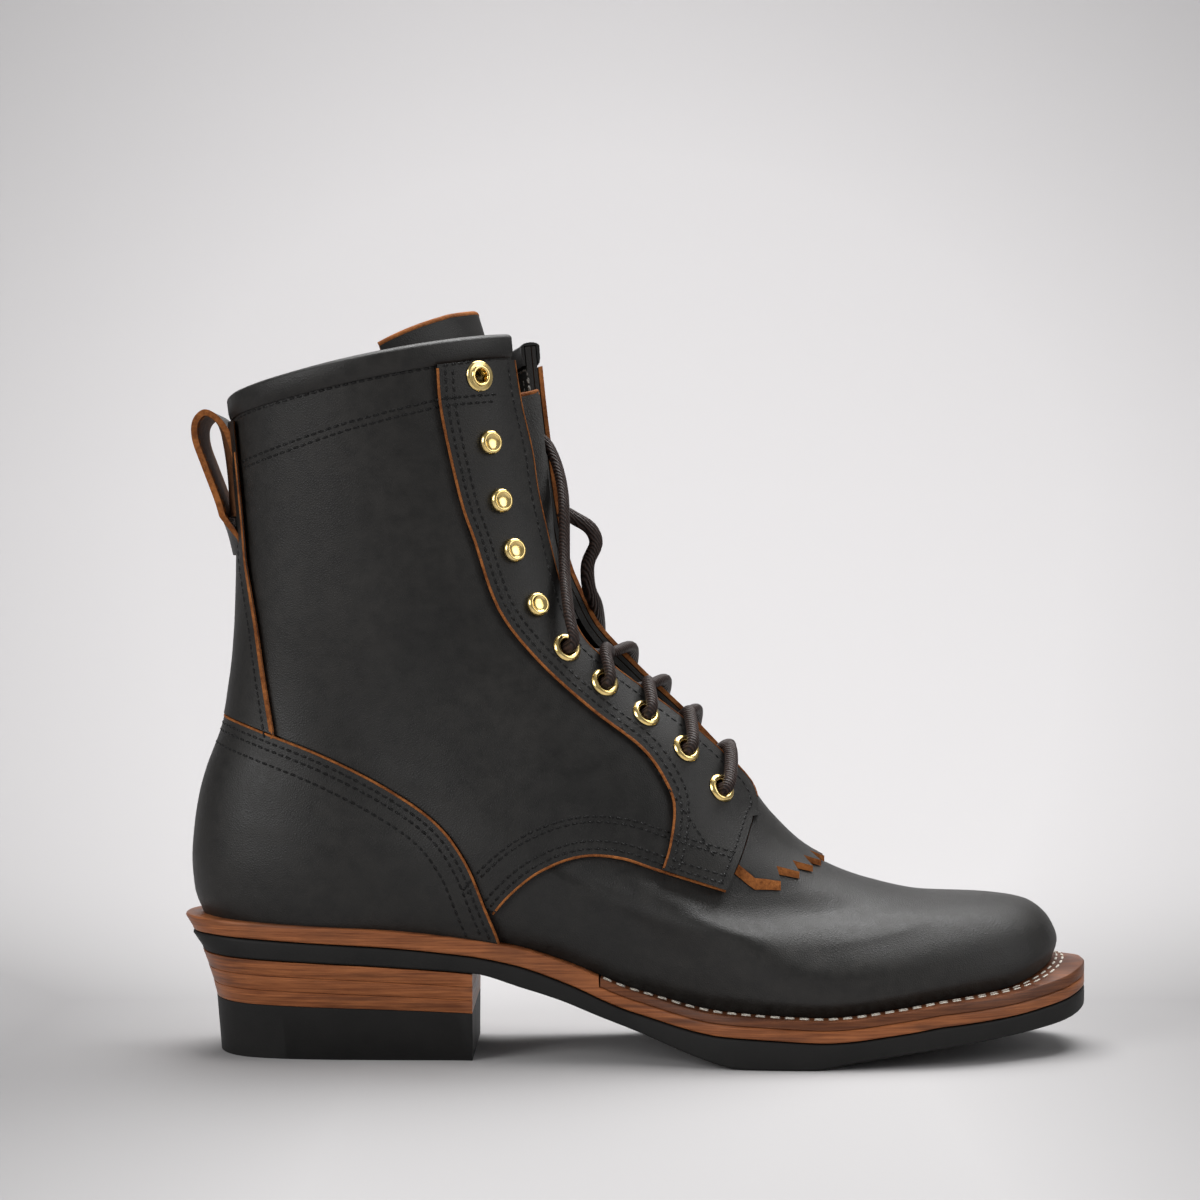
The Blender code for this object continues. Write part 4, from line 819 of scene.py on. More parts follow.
def tube_object(name, rings, materials, ends=(0, 0), around=None, sharp=SHARP_ANGLE):
    """An object from rings of points, with the material indices of its two ends and round its sides."""
    count, sides = rings.shape[:2]
    indices = list(ends) + (around or [0] * sides) * (count - 1)
    return make_object(name, rings.reshape(-1, 3), tube_faces(count, sides), materials, indices, sharp)


def joined_tubes(tubes):
    """Points and faces of several tubes of rings, as one mesh."""
    points = []
    faces = []
    for rings in tubes:
        start = len(points)
        points += list(rings.reshape(-1, 3))
        faces += [tuple(start + i for i in face) for face in tube_faces(*rings.shape[:2])]
    return points, faces


def prism(name, near, far):
    """A cutter between two outlines of points."""
    return make_cutter(name, near + far, tube_faces(2, len(near)))


def side_prism(name, outline, y_range=(-CUT_HALF_WIDTH, CUT_HALF_WIDTH)):
    """A cutter: a side-view outline carried across the boot."""
    y_low, y_high = y_range
    return prism(name, [(x, y_low, z) for x, z in outline], [(x, y_high, z) for x, z in outline])


def turned(point, axis, profile, sides):
    """Rings of a turned shape: profile rows are (radius, height along the axis)."""
    axis = Vector(axis)
    across = axis.orthogonal().normalized()
    over = axis.cross(across)
    rings = []
    for radius, height in profile:
        ring = []
        for k in range(sides):
            angle = 2 * math.pi * k / sides
            spoke = across * math.cos(angle) + over * math.sin(angle)
            ring.append(Vector(point) + axis * height + spoke * radius)
        rings.append(ring)
    return np.array(rings)


def cord_rings(path, radius, sides, flat=1.0):
    """Rings of a cord along a path; flat is its thickness against its width."""
    path = [Vector(p) for p in path]
    rings = []
    across = CORD_UP
    for i, point in enumerate(path):
        along = (path[min(i + 1, len(path) - 1)] - path[max(i - 1, 0)]).normalized()
        across = (across - along * across.dot(along)).normalized()
        over = along.cross(across)
        rings.append([point + radius * (across * math.cos(a) + over * math.sin(a) * flat)
                      for a in np.linspace(0, 2 * math.pi, sides, endpoint=False)])
    return np.array(rings)


# Upper

@functools.lru_cache(None)
def throat_cutter():
    """The opening of the throat: a strip of the upper from edge to edge, cut right through its layers."""
    outer = []
    inner = []
    for level in np.linspace(THROAT_BASE_LEVEL, 1.0, 70):
        turns = np.linspace(edge_turn(level, -1), edge_turn(level, 1), 9)
        outer.append(upper_face(level, turns, STAY_OUT + THROAT_CUT_OUT))
        inner.append(upper_face(level, turns, -WALL - THROAT_CUT_IN))
    for rows in (outer, inner):
        rows.append(rows[-1] + 2 * (rows[-1] - rows[-2]))
    points, faces, _ = sheet_solid(np.stack(outer), np.stack(inner), False)
    return make_cutter("throat_cutter", points, faces, THROAT)


@functools.lru_cache(None)
def eyelet_holes(side):
    """Cutter with one round bar through each eyelet of a side."""
    bar = ((EYELET_BORE + GAP, -HOLE_REACH), (EYELET_BORE + GAP, HOLE_REACH))
    bars = []
    for x, z, kind in eyelet_places(side):
        if kind == "eyelet":
            _, point, normal = seat(x, z, side)
            bars.append(turned(point, normal, bar, HOLE_SIDES))
    return make_cutter("eyelet_holes_" + SIDE_NAMES[side], *joined_tubes(bars))


def panel_front(side):
    """Side view of a panel's front: its own edge beside the kiltie, then clear ahead of the throat."""
    edge = [tuple(p) for p in front_edge(side) if p[1] < PANEL_TURN_Z]
    nose_x = edge[-1][0] + PANEL_NOSE
    nose = [(nose_x, edge[-1][1] + PANEL_NOSE_STEP), (nose_x, PANEL_NOSE_Z),
            (CUT_FRONT_X, PANEL_NOSE_Z + PANEL_NOSE_RISE)]
    return edge + nose + [(CUT_FRONT_X, CUT_TOP_Z)]


def make_upper():
    """The wall of vamp and shaft, open at the collar, the throat and underneath."""
    upper = upper_layer("vamp_and_shaft", -WALL, 0.0, (BLACK_LEATHER, LINING, LINING, LINING))
    holes = [(eyelet_holes(side), "DIFFERENCE") for side in SIDES]
    cut(upper, (throat_cutter(), "DIFFERENCE"), *holes)
    return dress(upper, "upper_leather", "upper")


def make_quarter(side):
    """Side panel of the shaft, from the backstay to the throat, over the vamp."""
    name = "quarter_" + SIDE_NAMES[side]
    quarter = upper_layer(name + "_panel", QUARTER_IN, QUARTER_OUT, (BLACK_LEATHER, FLESH, RAW_EDGE, LINING),
                          low=0.05, turns=sorted((side * THROAT_TURN, side * SEAM_TURN)))
    counter_line = [(p[0] + COUNTER_SEAM_X, p[1] + COUNTER_SEAM) for p in spline(COUNTER_TOP)
                    if p[1] > QUARTER_LOW_Z]
    outline = [(CUT_BACK_X, CUT_TOP_Z), (CUT_BACK_X, counter_line[0][1])] + counter_line
    outline += [tuple(p) for p in spline(QUARTER_ARCH)][1:]
    outline += panel_front(side)[1:]
    cut(quarter, (side_prism("quarter_cutter_" + SIDE_NAMES[side], outline), "INTERSECT"),
        (throat_cutter(), "DIFFERENCE"), (eyelet_holes(side), "DIFFERENCE"))
    return dress(quarter, "upper_leather", name)


def make_eyestay(side):
    """Facing along the throat that carries the eyelets and hooks, down to the tip beside the kiltie."""
    name = "eyestay_" + SIDE_NAMES[side]
    stay = upper_layer(name + "_panel", STAY_IN, STAY_OUT, (BLACK_LEATHER, FLESH, FLESH, RAW_EDGE), low=0.28,
                       turns=sorted((side * THROAT_TURN, side * EYESTAY_TURN)))
    front = panel_front(side)
    tip = (front[0][0], front[0][1] + EYESTAY_STEP)
    back = [tuple(p) for p in spline(EYESTAY_BACK) if p[1] < collar_z(p[0], side) - UNDER_BINDING]
    back_top = (back[0][0], collar_z(back[0][0], side) - UNDER_BINDING)
    front_top = (EYESTAY_FRONT_X, collar_z(EYESTAY_FRONT_X, side) - UNDER_BINDING)
    outline = [back_top] + back + [tip] + front[1:-1] + [(CUT_FRONT_X, front_top[1]), front_top]
    cut(stay, (side_prism("eyestay_cutter_" + SIDE_NAMES[side], outline), "INTERSECT"),
        (throat_cutter(), "DIFFERENCE"), (eyelet_holes(side), "DIFFERENCE"))
    return dress(stay, "upper_leather", name)


def make_counter():
    """Heel counter, wrapped round the back from side to side."""
    counter = upper_layer("heel_counter_panel", GAP, COUNTER_OUT, (BLACK_LEATHER, FLESH, RAW_EDGE), low=0.004,
                          high=0.71, turns=(0.5, 1.5))
    outline = [tuple(p) for p in spline(COUNTER_TOP)] + list(COUNTER_BELOW)
    cut(counter, (side_prism("counter_cutter", outline), "INTERSECT"))
    return dress(counter, "upper_leather", "heel_counter")


def make_backstay():
    """Strip over the back seam, from the counter to the collar."""
    stay = upper_layer("backstay_strip", STAY_IN, STAY_OUT, (BLACK_LEATHER, FLESH, RAW_EDGE), low=0.43,
                       turns=(0.75, 1.25))
    top = collar_z(BACKSTAY_TOP_X) - BINDING_HEIGHT - GAP
    bottom = [(p[0], p[1] + COUNTER_SEAM) for p in spline(COUNTER_TOP) if p[0] < BACKSTAY_LOW_X]
    edge = [tuple(p) for p in spline(BACKSTAY_EDGE) if bottom[-1][1] + BACKSTAY_STEP < p[1] < top]
    outline = [(CUT_BACK_X, top), (edge[0][0], top)] + edge + bottom[::-1] + [(CUT_BACK_X, bottom[0][1])]
    cut(stay, (side_prism("backstay_cutter", outline, NARROW_CUT), "INTERSECT"))
    return dress(stay, "upper_leather", "backstay")


def make_binding():
    """Rolled leather over the collar's edge, from one side of the throat round to the other."""
    turns = np.linspace(edge_turn(1.0, 1), 2 + edge_turn(1.0, -1), 170)
    wall = BINDING_THICKNESS
    outer = QUARTER_OUT + GAP + wall
    inner = -WALL - GAP - wall
    middle = (outer + inner) / 2
    half = (outer - inner) / 2
    profile = [(QUARTER_OUT + GAP + BINDING_EDGE, -BINDING_HEIGHT)]
    profile += [(outer - inset, rise - BINDING_HEIGHT) for inset, rise in BINDING_LIP]
    profile += [(middle + half * math.cos(a), BINDING_ROLL * math.sin(a)) for a in np.linspace(0, math.pi, 9)]
    profile += [(inner, -BINDING_HEIGHT), (-WALL - GAP, -BINDING_HEIGHT), (-WALL - GAP, GAP),
                (QUARTER_OUT + GAP, GAP), (QUARTER_OUT + GAP, -BINDING_HEIGHT)]
    face = upper_face(1.0, turns, 0.0)
    outward = upper_face(1.0, turns, 1.0) - face
    upward = unit(face - upper_face(BINDING_LOW_LEVEL, turns, 0.0))
    rings = np.stack([face + outward * out + upward * up for out, up in profile], axis=1)
    binding = tube_object("collar_binding_roll", rings, (BLACK_LEATHER, RAW_EDGE), ends=(0, 1))
    return dress(binding, "upper_leather", "collar_binding")


def kiltie_plan():
    """Plan outline of the kiltie with its saw teeth."""
    plan = [(KILTIE_BACK_X, -KILTIE_HALF_WIDTH), (KILTIE_BACK_X, KILTIE_HALF_WIDTH)]
    for i in range(2 * KILTIE_TEETH + 1):
        share = 1 - i / KILTIE_TEETH
        reach = KILTIE_FRONT_X - KILTIE_DROP * share ** 2 - (KILTIE_TOOTH if i % 2 == 0 else 0.0)
        plan.append((reach, KILTIE_HALF_WIDTH * share))
    return plan


def make_kiltie():
    """Saw-toothed tongue of leather over the vamp, between the tips of the quarters."""
    kiltie = upper_layer("kiltie_fringe", GAP, GAP + KILTIE_THICKNESS, (BLACK_LEATHER, FLESH, RAW_EDGE),
                         low=0.36, high=0.71, turns=(-0.46, 0.46))
    box = [(KILTIE_BOX_BACK_X, KILTIE_LOW_Z), (CUT_FRONT_X, KILTIE_LOW_Z),
           (CUT_FRONT_X, KILTIE_TOP_Z), (KILTIE_BOX_BACK_X, KILTIE_TOP_Z)]
    cuts = [(side_prism("kiltie_side_cutter", box, NARROW_CUT), "INTERSECT")]
    below, above = KILTIE_CUT_Z
    for side in SIDES:
        edge = [(p[0] + KILTIE_CLEARANCE, p[1]) for p in front_edge(side) if p[1] < KILTIE_EDGE_Z]
        panel = [(KILTIE_CUT_BACK_X, below), (edge[0][0], below)] + edge + [(KILTIE_CUT_BACK_X, edge[-1][1])]
        y_range = sorted((0.0, side * NARROW_CUT[1]))
        cuts.append((side_prism("kiltie_panel_cutter_" + SIDE_NAMES[side], panel, y_range), "DIFFERENCE"))
    middle = float(smooth(SWING, KILTIE_FRONT_X)) * KILTIE_SWING
    low, high = [[(x, y + middle, z) for x, y in kiltie_plan()] for z in (below, above)]
    cut(kiltie, *cuts, (prism("kiltie_plan_cutter", low, high), "INTERSECT"))
    return dress(kiltie, "upper_leather", "kiltie")


def make_rim(name, line, radius):
    """Rounded raw edge along a line of points."""
    rings = cord_rings(resampled(line, RIM_SPACING), radius, RIM_SIDES)
    return dress(tube_object(name, rings, (RAW_EDGE,), sharp=CORD_SHARP_ANGLE), "brown_leather")


def make_tongue():
    """Sheet behind the throat that leans back and stands above the collar."""
    shares = np.linspace(-1, 1, 41)
    fronts = []
    backs = []
    for level in np.linspace(TONGUE_LOW_LEVEL, 1.0, 60):
        reach = smooth(TONGUE_REACH, level)
        depth = smooth(TONGUE_DEPTH, level)
        fronts.append(upper_face(level, shares * reach, -depth))
        backs.append(upper_face(level, shares * reach, -depth - TONGUE_THICKNESS))
    rise = TONGUE_RISE * (1 - TONGUE_ROUND * shares ** 2)
    lean = np.array([-TONGUE_LEAN, 0.0, 1.0])
    front_top = fronts[-1]
    back_top = backs[-1]
    for step in np.linspace(0.2, 1.0, 5):
        fronts.append(front_top + step * rise[:, None] * lean)
        backs.append(back_top + step * rise[:, None] * lean)
    points, faces, indices = sheet_solid(np.stack(fronts), np.stack(backs), False)
    tongue = make_object("tongue_sheet", points, faces, (BLACK_LEATHER, FLESH, RAW_EDGE), indices)
    dress(tongue, "upper_leather", "tongue")
    make_rim("tongue_rim", (fronts[-1] + backs[-1]) / 2, TONGUE_THICKNESS / 2 + TONGUE_RIM)


def thick_line(line, thickness):
    """Outline of a line of points, thickened to both sides."""
    line = np.asarray(line, float)
    side = left_of(line) * thickness / 2
    return np.concatenate([line + side, (line - side)[::-1]])


def make_gusset(side):
    """Folded leather between tongue and eyestay; its crease stands in the open throat."""
    rings = []
    levels = np.linspace(GUSSET_LOW_LEVEL, 1.0, 49)
    heights = [upper_ring(v, edge_turn(v, side))[2] for v in levels]
    for z, crease_x, crease_y in spline(GUSSET_CREASE, 4):
        if side > 0:
            crease_y = GUSSET_MEDIAL_Y
        level = float(np.interp(z, heights, levels))
        turn = edge_turn(level, side)
        edge = upper_face(level, turn, -WALL - GUSSET_CLEARANCE)
        behind = upper_face(level, turn + side * GUSSET_HOLD_TURN, -WALL - GUSSET_CLEARANCE)
        depth = float(smooth(TONGUE_DEPTH, level))
        tongue = upper_face(level, side * GUSSET_INNER_TURN, -depth + GUSSET_CLEARANCE + GUSSET_OFF_TONGUE)
        crease = np.array([crease_x, side * crease_y])
        fold = np.array([GUSSET_FOLD[0], -side * GUSSET_FOLD[1]])
        line = [behind[:2], edge[:2], edge[:2] + (crease - edge[:2]) * 0.5, crease, crease + fold,
                tongue[:2] + (crease - tongue[:2]) * 0.5, tongue[:2]]
        plan = thick_line(spline(line, 3), GUSSET_THICKNESS)
        half = len(plan) // 2
        height_share = (z - heights[0]) / (heights[-1] - heights[0])
        lift = np.interp(np.linspace(0, 1, half), GUSSET_LIFT[0], GUSSET_LIFT[1]) * height_share ** 3
        rings.append(np.column_stack([plan, z + np.concatenate([lift, lift[::-1]])]))
    rings = np.stack(rings)
    # The gussets take the lighter leather that carries painted sheen
    gusset = tube_object("gusset_%s_fold" % SIDE_NAMES[side], rings, (GUSSET_SHEEN_LEATHER, RAW_EDGE), ends=(1, 1))
    dress(gusset, "upper_leather", "gusset_" + SIDE_NAMES[side])
    top_line = (rings[-1, :half] + rings[-1, half:][::-1]) / 2
    make_rim("gusset_%s_rim" % SIDE_NAMES[side], top_line, GUSSET_THICKNESS / 2 + GUSSET_RIM)


def make_pull_loop():
    """Strap folded into a loop behind the collar: grain outside, flesh inside, raw edges."""
    line = np.array(spline(PULL_LOOP, 8))
    thickness = np.full((len(line), 1), PULL_LOOP_THICKNESS)
    thickness[-PULL_LOOP_END:, 0] = np.linspace(PULL_LOOP_THICKNESS, PULL_LOOP_TIP, PULL_LOOP_END)
    points = thick_line(line, thickness)
    top = int(line[:, 1].argmax())
    low = np.clip((PULL_LOOP_BEND[0][0] - line[:, 1]) / PULL_LOOP_EASE, 0, 1)
    bend = np.where(np.arange(len(line)) < top, smooth(PULL_LOOP_BEND, line[:, 1]), low)
    bend = np.concatenate([bend, bend[::-1]])
    count = len(points)
    half = PULL_LOOP_WIDTH / 2
    flat_half = half - PULL_LOOP_EDGE
    stations = np.concatenate([[-half], np.linspace(-flat_half, flat_half, 9), [half]])
    rings = np.array([np.column_stack([points[:, 0] + bend * y * y / (2 * PULL_LOOP_ROUND),
                                       np.full(count, y), points[:, 1]]) for y in stations])
    around = [0 if k < count // 2 else 2 for k in range(count)]
    loop = tube_object("pull_loop_strap", rings, (FLESH, RAW_EDGE, BLACK_LEATHER), (1, 1), around)
    dress(loop, "brown_leather", "pull_loop")
    thread = Collector("pull_loop_stitching", RAW_EDGE, "brown_leather")
    inner = points[:len(line)]
    normals = np.insert(unit(inner - line), 1, 0.0, axis=1)
    row_y = PULL_LOOP_STITCH_INSET - half
    row = np.column_stack([inner[:, 0] + bend[:len(line)] * row_y ** 2 / (2 * PULL_LOOP_ROUND),
                           np.full(len(line), row_y), inner[:, 1]])
    add_stitches(thread, (row[top:-PULL_LOOP_END], normals[top:-PULL_LOOP_END]))
    thread.finish()


# Sole

def toe_share(x):
    """How far along the toe a point of the sole lies, from 0 behind it to 1 at its tip."""
    return np.clip((x - WELT_TOE_X) / (SOLE_LENGTH - WELT_TOE_X), 0, 1)


def midsole_top(x):
    """Top of the midsole: under the upper at the heel, lower by the welt ahead of it."""
    step = np.where(x > WELT_START_X, WELT_THICKNESS + WELT_BED + WELT_TOE_BED * toe_share(x), 0.0)
    return sole_edge_z(x) - SEAM_GAP - step


def midsole_bottom(x):
    """Underside of the midsole, which is thicker at the forefoot, with its welt, and at the toe."""
    fore = MIDSOLE_FORE + WELT_THICKNESS + SEAM_GAP
    share = np.clip((x - HEEL_BREAST_X) / (WELT_START_X - HEEL_BREAST_X), 0, 1)
    thickness = MIDSOLE_HEEL + share * (fore - MIDSOLE_HEEL) + MIDSOLE_TOE * toe_share(x) ** 2
    return sole_edge_z(x) - SEAM_GAP - thickness


def tucked(x, amount):
    """Moves the outline of the heel in from the back by an amount that fades out at the breast."""
    return x + amount * np.clip(1 - x / HEEL_BREAST_X, 0, 1) ** 2


def groove_depth(x):
    """Depth of the cross grooves under the forefoot."""
    last = GROOVE_FIRST_X + GROOVE_PITCH * (GROOVE_COUNT - 1)
    nearest = np.abs((x - GROOVE_FIRST_X + GROOVE_PITCH / 2) % GROOVE_PITCH - GROOVE_PITCH / 2)
    in_groove = nearest < GROOVE_WIDTH / 2 + GROOVE_SLOPE / 4
    inside = in_groove & (x > GROOVE_FIRST_X - GROOVE_WIDTH) & (x < last + GROOVE_WIDTH)
    return np.where(inside, GROOVE_DEPTH, 0.0)


def plan_normals(plan):
    """Outward directions along a closed plan outline that runs heel, outer side, toe, inner side."""
    along = unit(np.roll(plan, -1, axis=0) - np.roll(plan, 1, axis=0))
    return np.stack([along[:, 1], -along[:, 0]], axis=1)


def plan_loop(x, outer, inner):
    """Closed plan outline along the outer side and back along the inner one."""
    return np.concatenate([np.column_stack([x, outer]), np.column_stack([x, inner])[::-1]])


def loop_solid(name, plans, heights, look, slot, node_name):
    """A solid of stacked plan loops from top to bottom, closed by strips from side to side."""
    count = len(plans[0])
    pairs = [(i, count - 1 - i) for i in range(count // 2)]
    points = np.concatenate([np.column_stack([plan, z]) for plan, z in zip(plans, heights)])
    faces = tube_faces(len(plans), count, closed_ends=False)
    for start in (0, (len(plans) - 1) * count):
        for (a, b), (c, d) in zip(pairs, pairs[1:]):
            faces.append(tuple(start + i for i in dict.fromkeys((a, c, d, b))))
    return dress(make_object(name, points, faces, (look,)), slot, node_name)


def sole_loop(extra_x=()):
    """Plan loop of the sole's edge, with points at some more x."""
    x = SOLE_LENGTH * (1 - np.cos(np.linspace(SOLE_END_ANGLE, np.pi - SOLE_END_ANGLE, SOLE_TURNS))) / 2
    x = np.unique(np.append(x, extra_x))
    _, outer, inner = sole_outline(x / SOLE_LENGTH)
    return plan_loop(x, outer, inner)


# Rounded edge of a sole layer: (inset, from the top, step down or up)
SOLE_EDGE = ((1.3, True, 0.0), (0.4, True, -0.12), (0.08, True, -0.45), (0.0, True, -0.9),
             (0.0, False, 0.9), (0.08, False, 0.45), (0.4, False, 0.12), (1.3, False, 0.0))


def make_sole_layer(name, top, bottom, tucks, extra_x, look, slot, node_name, tread=None):
    """One layer of the sole between two heights that follow x, tucked in under the back of the heel."""
    plan = sole_loop(extra_x)
    x = plan[:, 0]
    normals = plan_normals(plan)
    plans = []
    heights = []
    for inset, from_top, step in SOLE_EDGE:
        moved = plan - normals * inset
        moved[:, 0] = tucked(moved[:, 0], tucks[0] if from_top else tucks[1])
        plans.append(moved)
        heights.append((top(x) if from_top else bottom(x)) + step)
    if tread is not None:
        across = plan[::-1, 1] - plan[:, 1]
        margin = np.minimum(GROOVE_MARGIN, np.abs(across) / 4)
        for more, lift in ((0.0, 0.0), (GROOVE_END, tread(x))):
            y = plan[:, 1] + np.sign(across) * (margin + more)
            plans.append(np.column_stack([tucked(x, tucks[1]), y]))
            heights.append(bottom(x) + lift)
    return loop_solid(name, plans, heights, look, slot, node_name)


def make_sole():
    """Outsole with cross grooves that stop short of its edge, and the leather midsole."""
    grooves = GROOVE_FIRST_X + GROOVE_PITCH * np.arange(GROOVE_COUNT)
    edges = [groove + side * (GROOVE_WIDTH / 2 + slope)
             for groove in grooves for side in SIDES for slope in (0.0, GROOVE_SLOPE)]
    make_sole_layer("outsole_tread", lambda x: midsole_bottom(x) - SEAM_GAP,
                    lambda x: smooth(OUTSOLE_BOTTOM, tucked(x, OUTSOLE_TUCK[1])), OUTSOLE_TUCK, edges, RUBBER,
                    "rubber", "outsole", groove_depth)
    step = (WELT_START_X - WELT_STEP, WELT_START_X + WELT_STEP)
    make_sole_layer("midsole_leather", midsole_top, midsole_bottom, (0.0, MIDSOLE_TUCK), step, SOLE_LEATHER,
                    "brown_leather", "midsole")


@functools.lru_cache(None)
def welt_edges():
    """Top edges of the welt, outside and inside, from one end round the toe to the other."""
    ring = ring_row(0.0)
    first_x = WELT_START_X + WELT_END_GAP
    first_share = (first_x - ring["back_x"]) / (ring["front_x"] - ring["back_x"])
    first_turn = math.acos(2 * first_share - 1) / math.pi
    turns = np.linspace(-first_turn, first_turn, 261)
    x = upper_ring(0.0, turns)[:, 0]
    share = np.clip((x - WELT_TOE_X) / (x.max() - WELT_TOE_X), 0, 1)
    x = x + (SOLE_LENGTH - WELT_TOE_GAP - x.max()) * share ** 2 * (3 - 2 * share)
    _, outer, inner = sole_outline(np.minimum(x / SOLE_LENGTH, 1.0))
    outside = np.column_stack([x, np.where(turns < 0, outer, inner), sole_edge_z(x) - SEAM_GAP])
    inside = upper_face(0.0, turns, -WALL - SEAM_GAP)
    inside[:, 0] = np.maximum(inside[:, 0], first_x)
    inside[:, 2] = upper_ring(0.0, turns)[:, 2] - SEAM_GAP
    return outside, inside


# Rounded edges of the welt: (inset, drop) down its top edge, and the size of the lower one
WELT_TOP_EDGE = ((1.2, 0.0), (0.35, 0.12), (0.0, 0.6))
WELT_LOW_EDGE = 0.25


def make_welt():
    """Strip round the forefoot that the upper's edge stands on, with a rounded outer edge."""
    outside, inside = welt_edges()
    inward = unit((inside - outside)[:, :2])
    bed = WELT_THICKNESS + WELT_BED + WELT_TOE_BED * toe_share(outside[:, 0]) - WELT_BED_GAP
    rows = [inside]
    for inset, drop in (*WELT_TOP_EDGE, (0.0, bed - WELT_LOW_EDGE), (WELT_LOW_EDGE, bed)):
        rows.append(np.column_stack([outside[:, :2] + inward * inset, outside[:, 2] - drop]))
    rows.append(inside - np.array((0.0, 0.0, WELT_THICKNESS)))
    rings = np.stack(rows, axis=1)
    return dress(tube_object("welt_strip", rings, (WELT_LEATHER,)), "brown_leather", "welt")


def heel_outline(drop):
    """Plan loop of the heel block, which draws in towards the floor (drop 0 to 1)."""
    share = 1 - np.cos(np.linspace(HEEL_END_ANGLE, math.pi / 2, HEEL_TURNS))
    half = round_ended_width(share * HEEL_BREAST_X / SOLE_LENGTH, SOLE_HALF_WIDTHS, SOLE_LENGTH,
                             SOLE_HEEL_ROUND, SOLE_TOE_ROUND)
    half = half * (1 - HEEL_TAPER * drop)
    x = tucked(share * HEEL_BREAST_X, smooth(HEEL_BACK, drop))
    middle = smooth(SWING, x)
    return plan_loop(x, middle - half, middle + half)


def make_heel():
    """Three leather lifts and a rubber cap, with small rounded edges at each joint."""
    drops = [i * HEEL_STACK_SHARE / LIFTS for i in range(LIFTS + 1)] + [1.0]
    names = ["heel_lift_%d" % (i + 1) for i in range(LIFTS)] + ["heel_cap"]
    for i, name in enumerate(names):
        top_plan = heel_outline(drops[i])
        low_plan = heel_outline(drops[i + 1])
        shave = HEEL_JOINT if i else 0.0
        top = (smooth(OUTSOLE_BOTTOM, top_plan[:, 0]) - SEAM_GAP) * (1 - drops[i]) - shave
        low = (smooth(OUTSOLE_BOTTOM, low_plan[:, 0]) - SEAM_GAP) * (1 - drops[i + 1])
        plans = [top_plan - plan_normals(top_plan) * HEEL_EDGE, top_plan,
                 low_plan, low_plan - plan_normals(low_plan) * HEEL_EDGE]
        heights = [top, top - HEEL_EDGE, low + HEEL_EDGE, low]
        look, slot = (RUBBER, "rubber") if name == "heel_cap" else (SOLE_LEATHER, "brown_leather")
        loop_solid(name + "_block", plans, heights, look, slot, name)


# Hardware and lace

# Profiles of the eyelets and domes, (radius, height over the leather)
EYELET_PROFILE = ((2.85, -5.6), (2.85, 0.4), (3.0, 0.85), (3.35, 1.15), (3.85, 1.2), (4.45, 0.95),
                  (4.85, 0.55), (5.05, 0.1), (4.9, -0.05), (3.25, -0.05), (3.25, -5.6))
EYELET_TOP_PROFILE = ((2.35, -5.6), (2.35, 0.7), (2.55, 1.15), (2.95, 1.35), (3.35, 1.2), (3.5, 0.75),
                      (3.7, 0.62), (4.5, 0.72), (4.95, 0.5), (5.18, 0.12), (5.0, -0.05), (3.0, -0.05),
                      (3.0, -6.2), (4.6, -6.25), (4.75, -6.5), (4.3, -6.9), (3.2, -7.0), (2.5, -6.7))
DOME_PROFILE = ((3.5, 0.0), (3.95, 0.25), (4.15, 0.8), (4.05, 1.5), (3.65, 2.1), (3.1, 2.4), (2.7, 2.28),
                (2.4, 2.0), (1.7, 1.8), (0.8, 1.74), (0.05, 1.74))
HARDWARE_SIDES = 40
HARDWARE_SEAT = 0.1
HARDWARE_SHARP_ANGLE = 50.0
TOP_EYELET_Z = 200.0


def make_hardware(side):
    """Brass eyelets and domed lace hooks of one side."""
    base = STAY_OUT + HARDWARE_SEAT
    numbers = {"eyelet": 0, "hook": 0}
    for x, z, kind in eyelet_places(side):
        _, point, normal = seat(x, z, side)
        numbers[kind] += 1
        name = "%s_%s_%d" % (kind, SIDE_NAMES[side], numbers[kind])
        eyelet = EYELET_TOP_PROFILE if z > TOP_EYELET_Z else EYELET_PROFILE
        profile = DOME_PROFILE if kind == "hook" else eyelet
        rings = turned(point, normal, [(r, h + base) for r, h in profile], HARDWARE_SIDES)
        faces = tube_faces(len(profile), HARDWARE_SIDES, closed_ends=kind == "hook")
        if kind == "eyelet":
            last = (len(profile) - 1) * HARDWARE_SIDES
            faces += [(last + k, last + (k + 1) % HARDWARE_SIDES, (k + 1) % HARDWARE_SIDES, k)
                      for k in range(HARDWARE_SIDES)]
        made = make_object(name + "_brass", rings.reshape(-1, 3), faces, (BRASS,), sharp=HARDWARE_SHARP_ANGLE)
        dress(made, "brass", name)


LACE_WIDTH = 2.45
LACE_FLAT = 0.78
LACE_ROUND = 14
LACE_START = 4.0
LACE_RISE = 1.5
LACE_END_RISE = 2.5


def lace_strand(side, number):
    """Lace out of one eyelet, across its own edge, under the other edge and up to the next eyelet there."""
    x, z, _ = eyelet_places(side)[number]
    next_x, next_z, _ = eyelet_places(side)[number + 1]
    level, point, normal = seat(x, z, side)
    step = seat(next_x, next_z, side)[0] - level
    edge = level + LACE_EDGE * step
    middle = level + LACE_CENTRE * step
    far = level + LACE_UNDER * step
    between = (edge_turn(middle, side) + edge_turn(middle, -side)) / 2
    other_x, other_z, _ = eyelet_places(-side)[number + 1]
    _, other, other_normal = seat(other_x, other_z, -side)
    under = -WALL - LACE_RADIUS - 2 * LACE_GAP
    path = [point - normal * LACE_START, point + normal * LACE_RISE,
            point + normal * (STAY_OUT + HARDWARE_GAP + EYELET_HEIGHT + LACE_RADIUS + LACE_GAP),
            upper_face(edge, edge_turn(edge, side), STAY_OUT + LACE_RADIUS + LACE_GAP),
            upper_face(middle, between, LACE_MIDDLE),
            upper_face(far, edge_turn(far, -side), under),
            other + other_normal * under]
    return spline(path, 8)


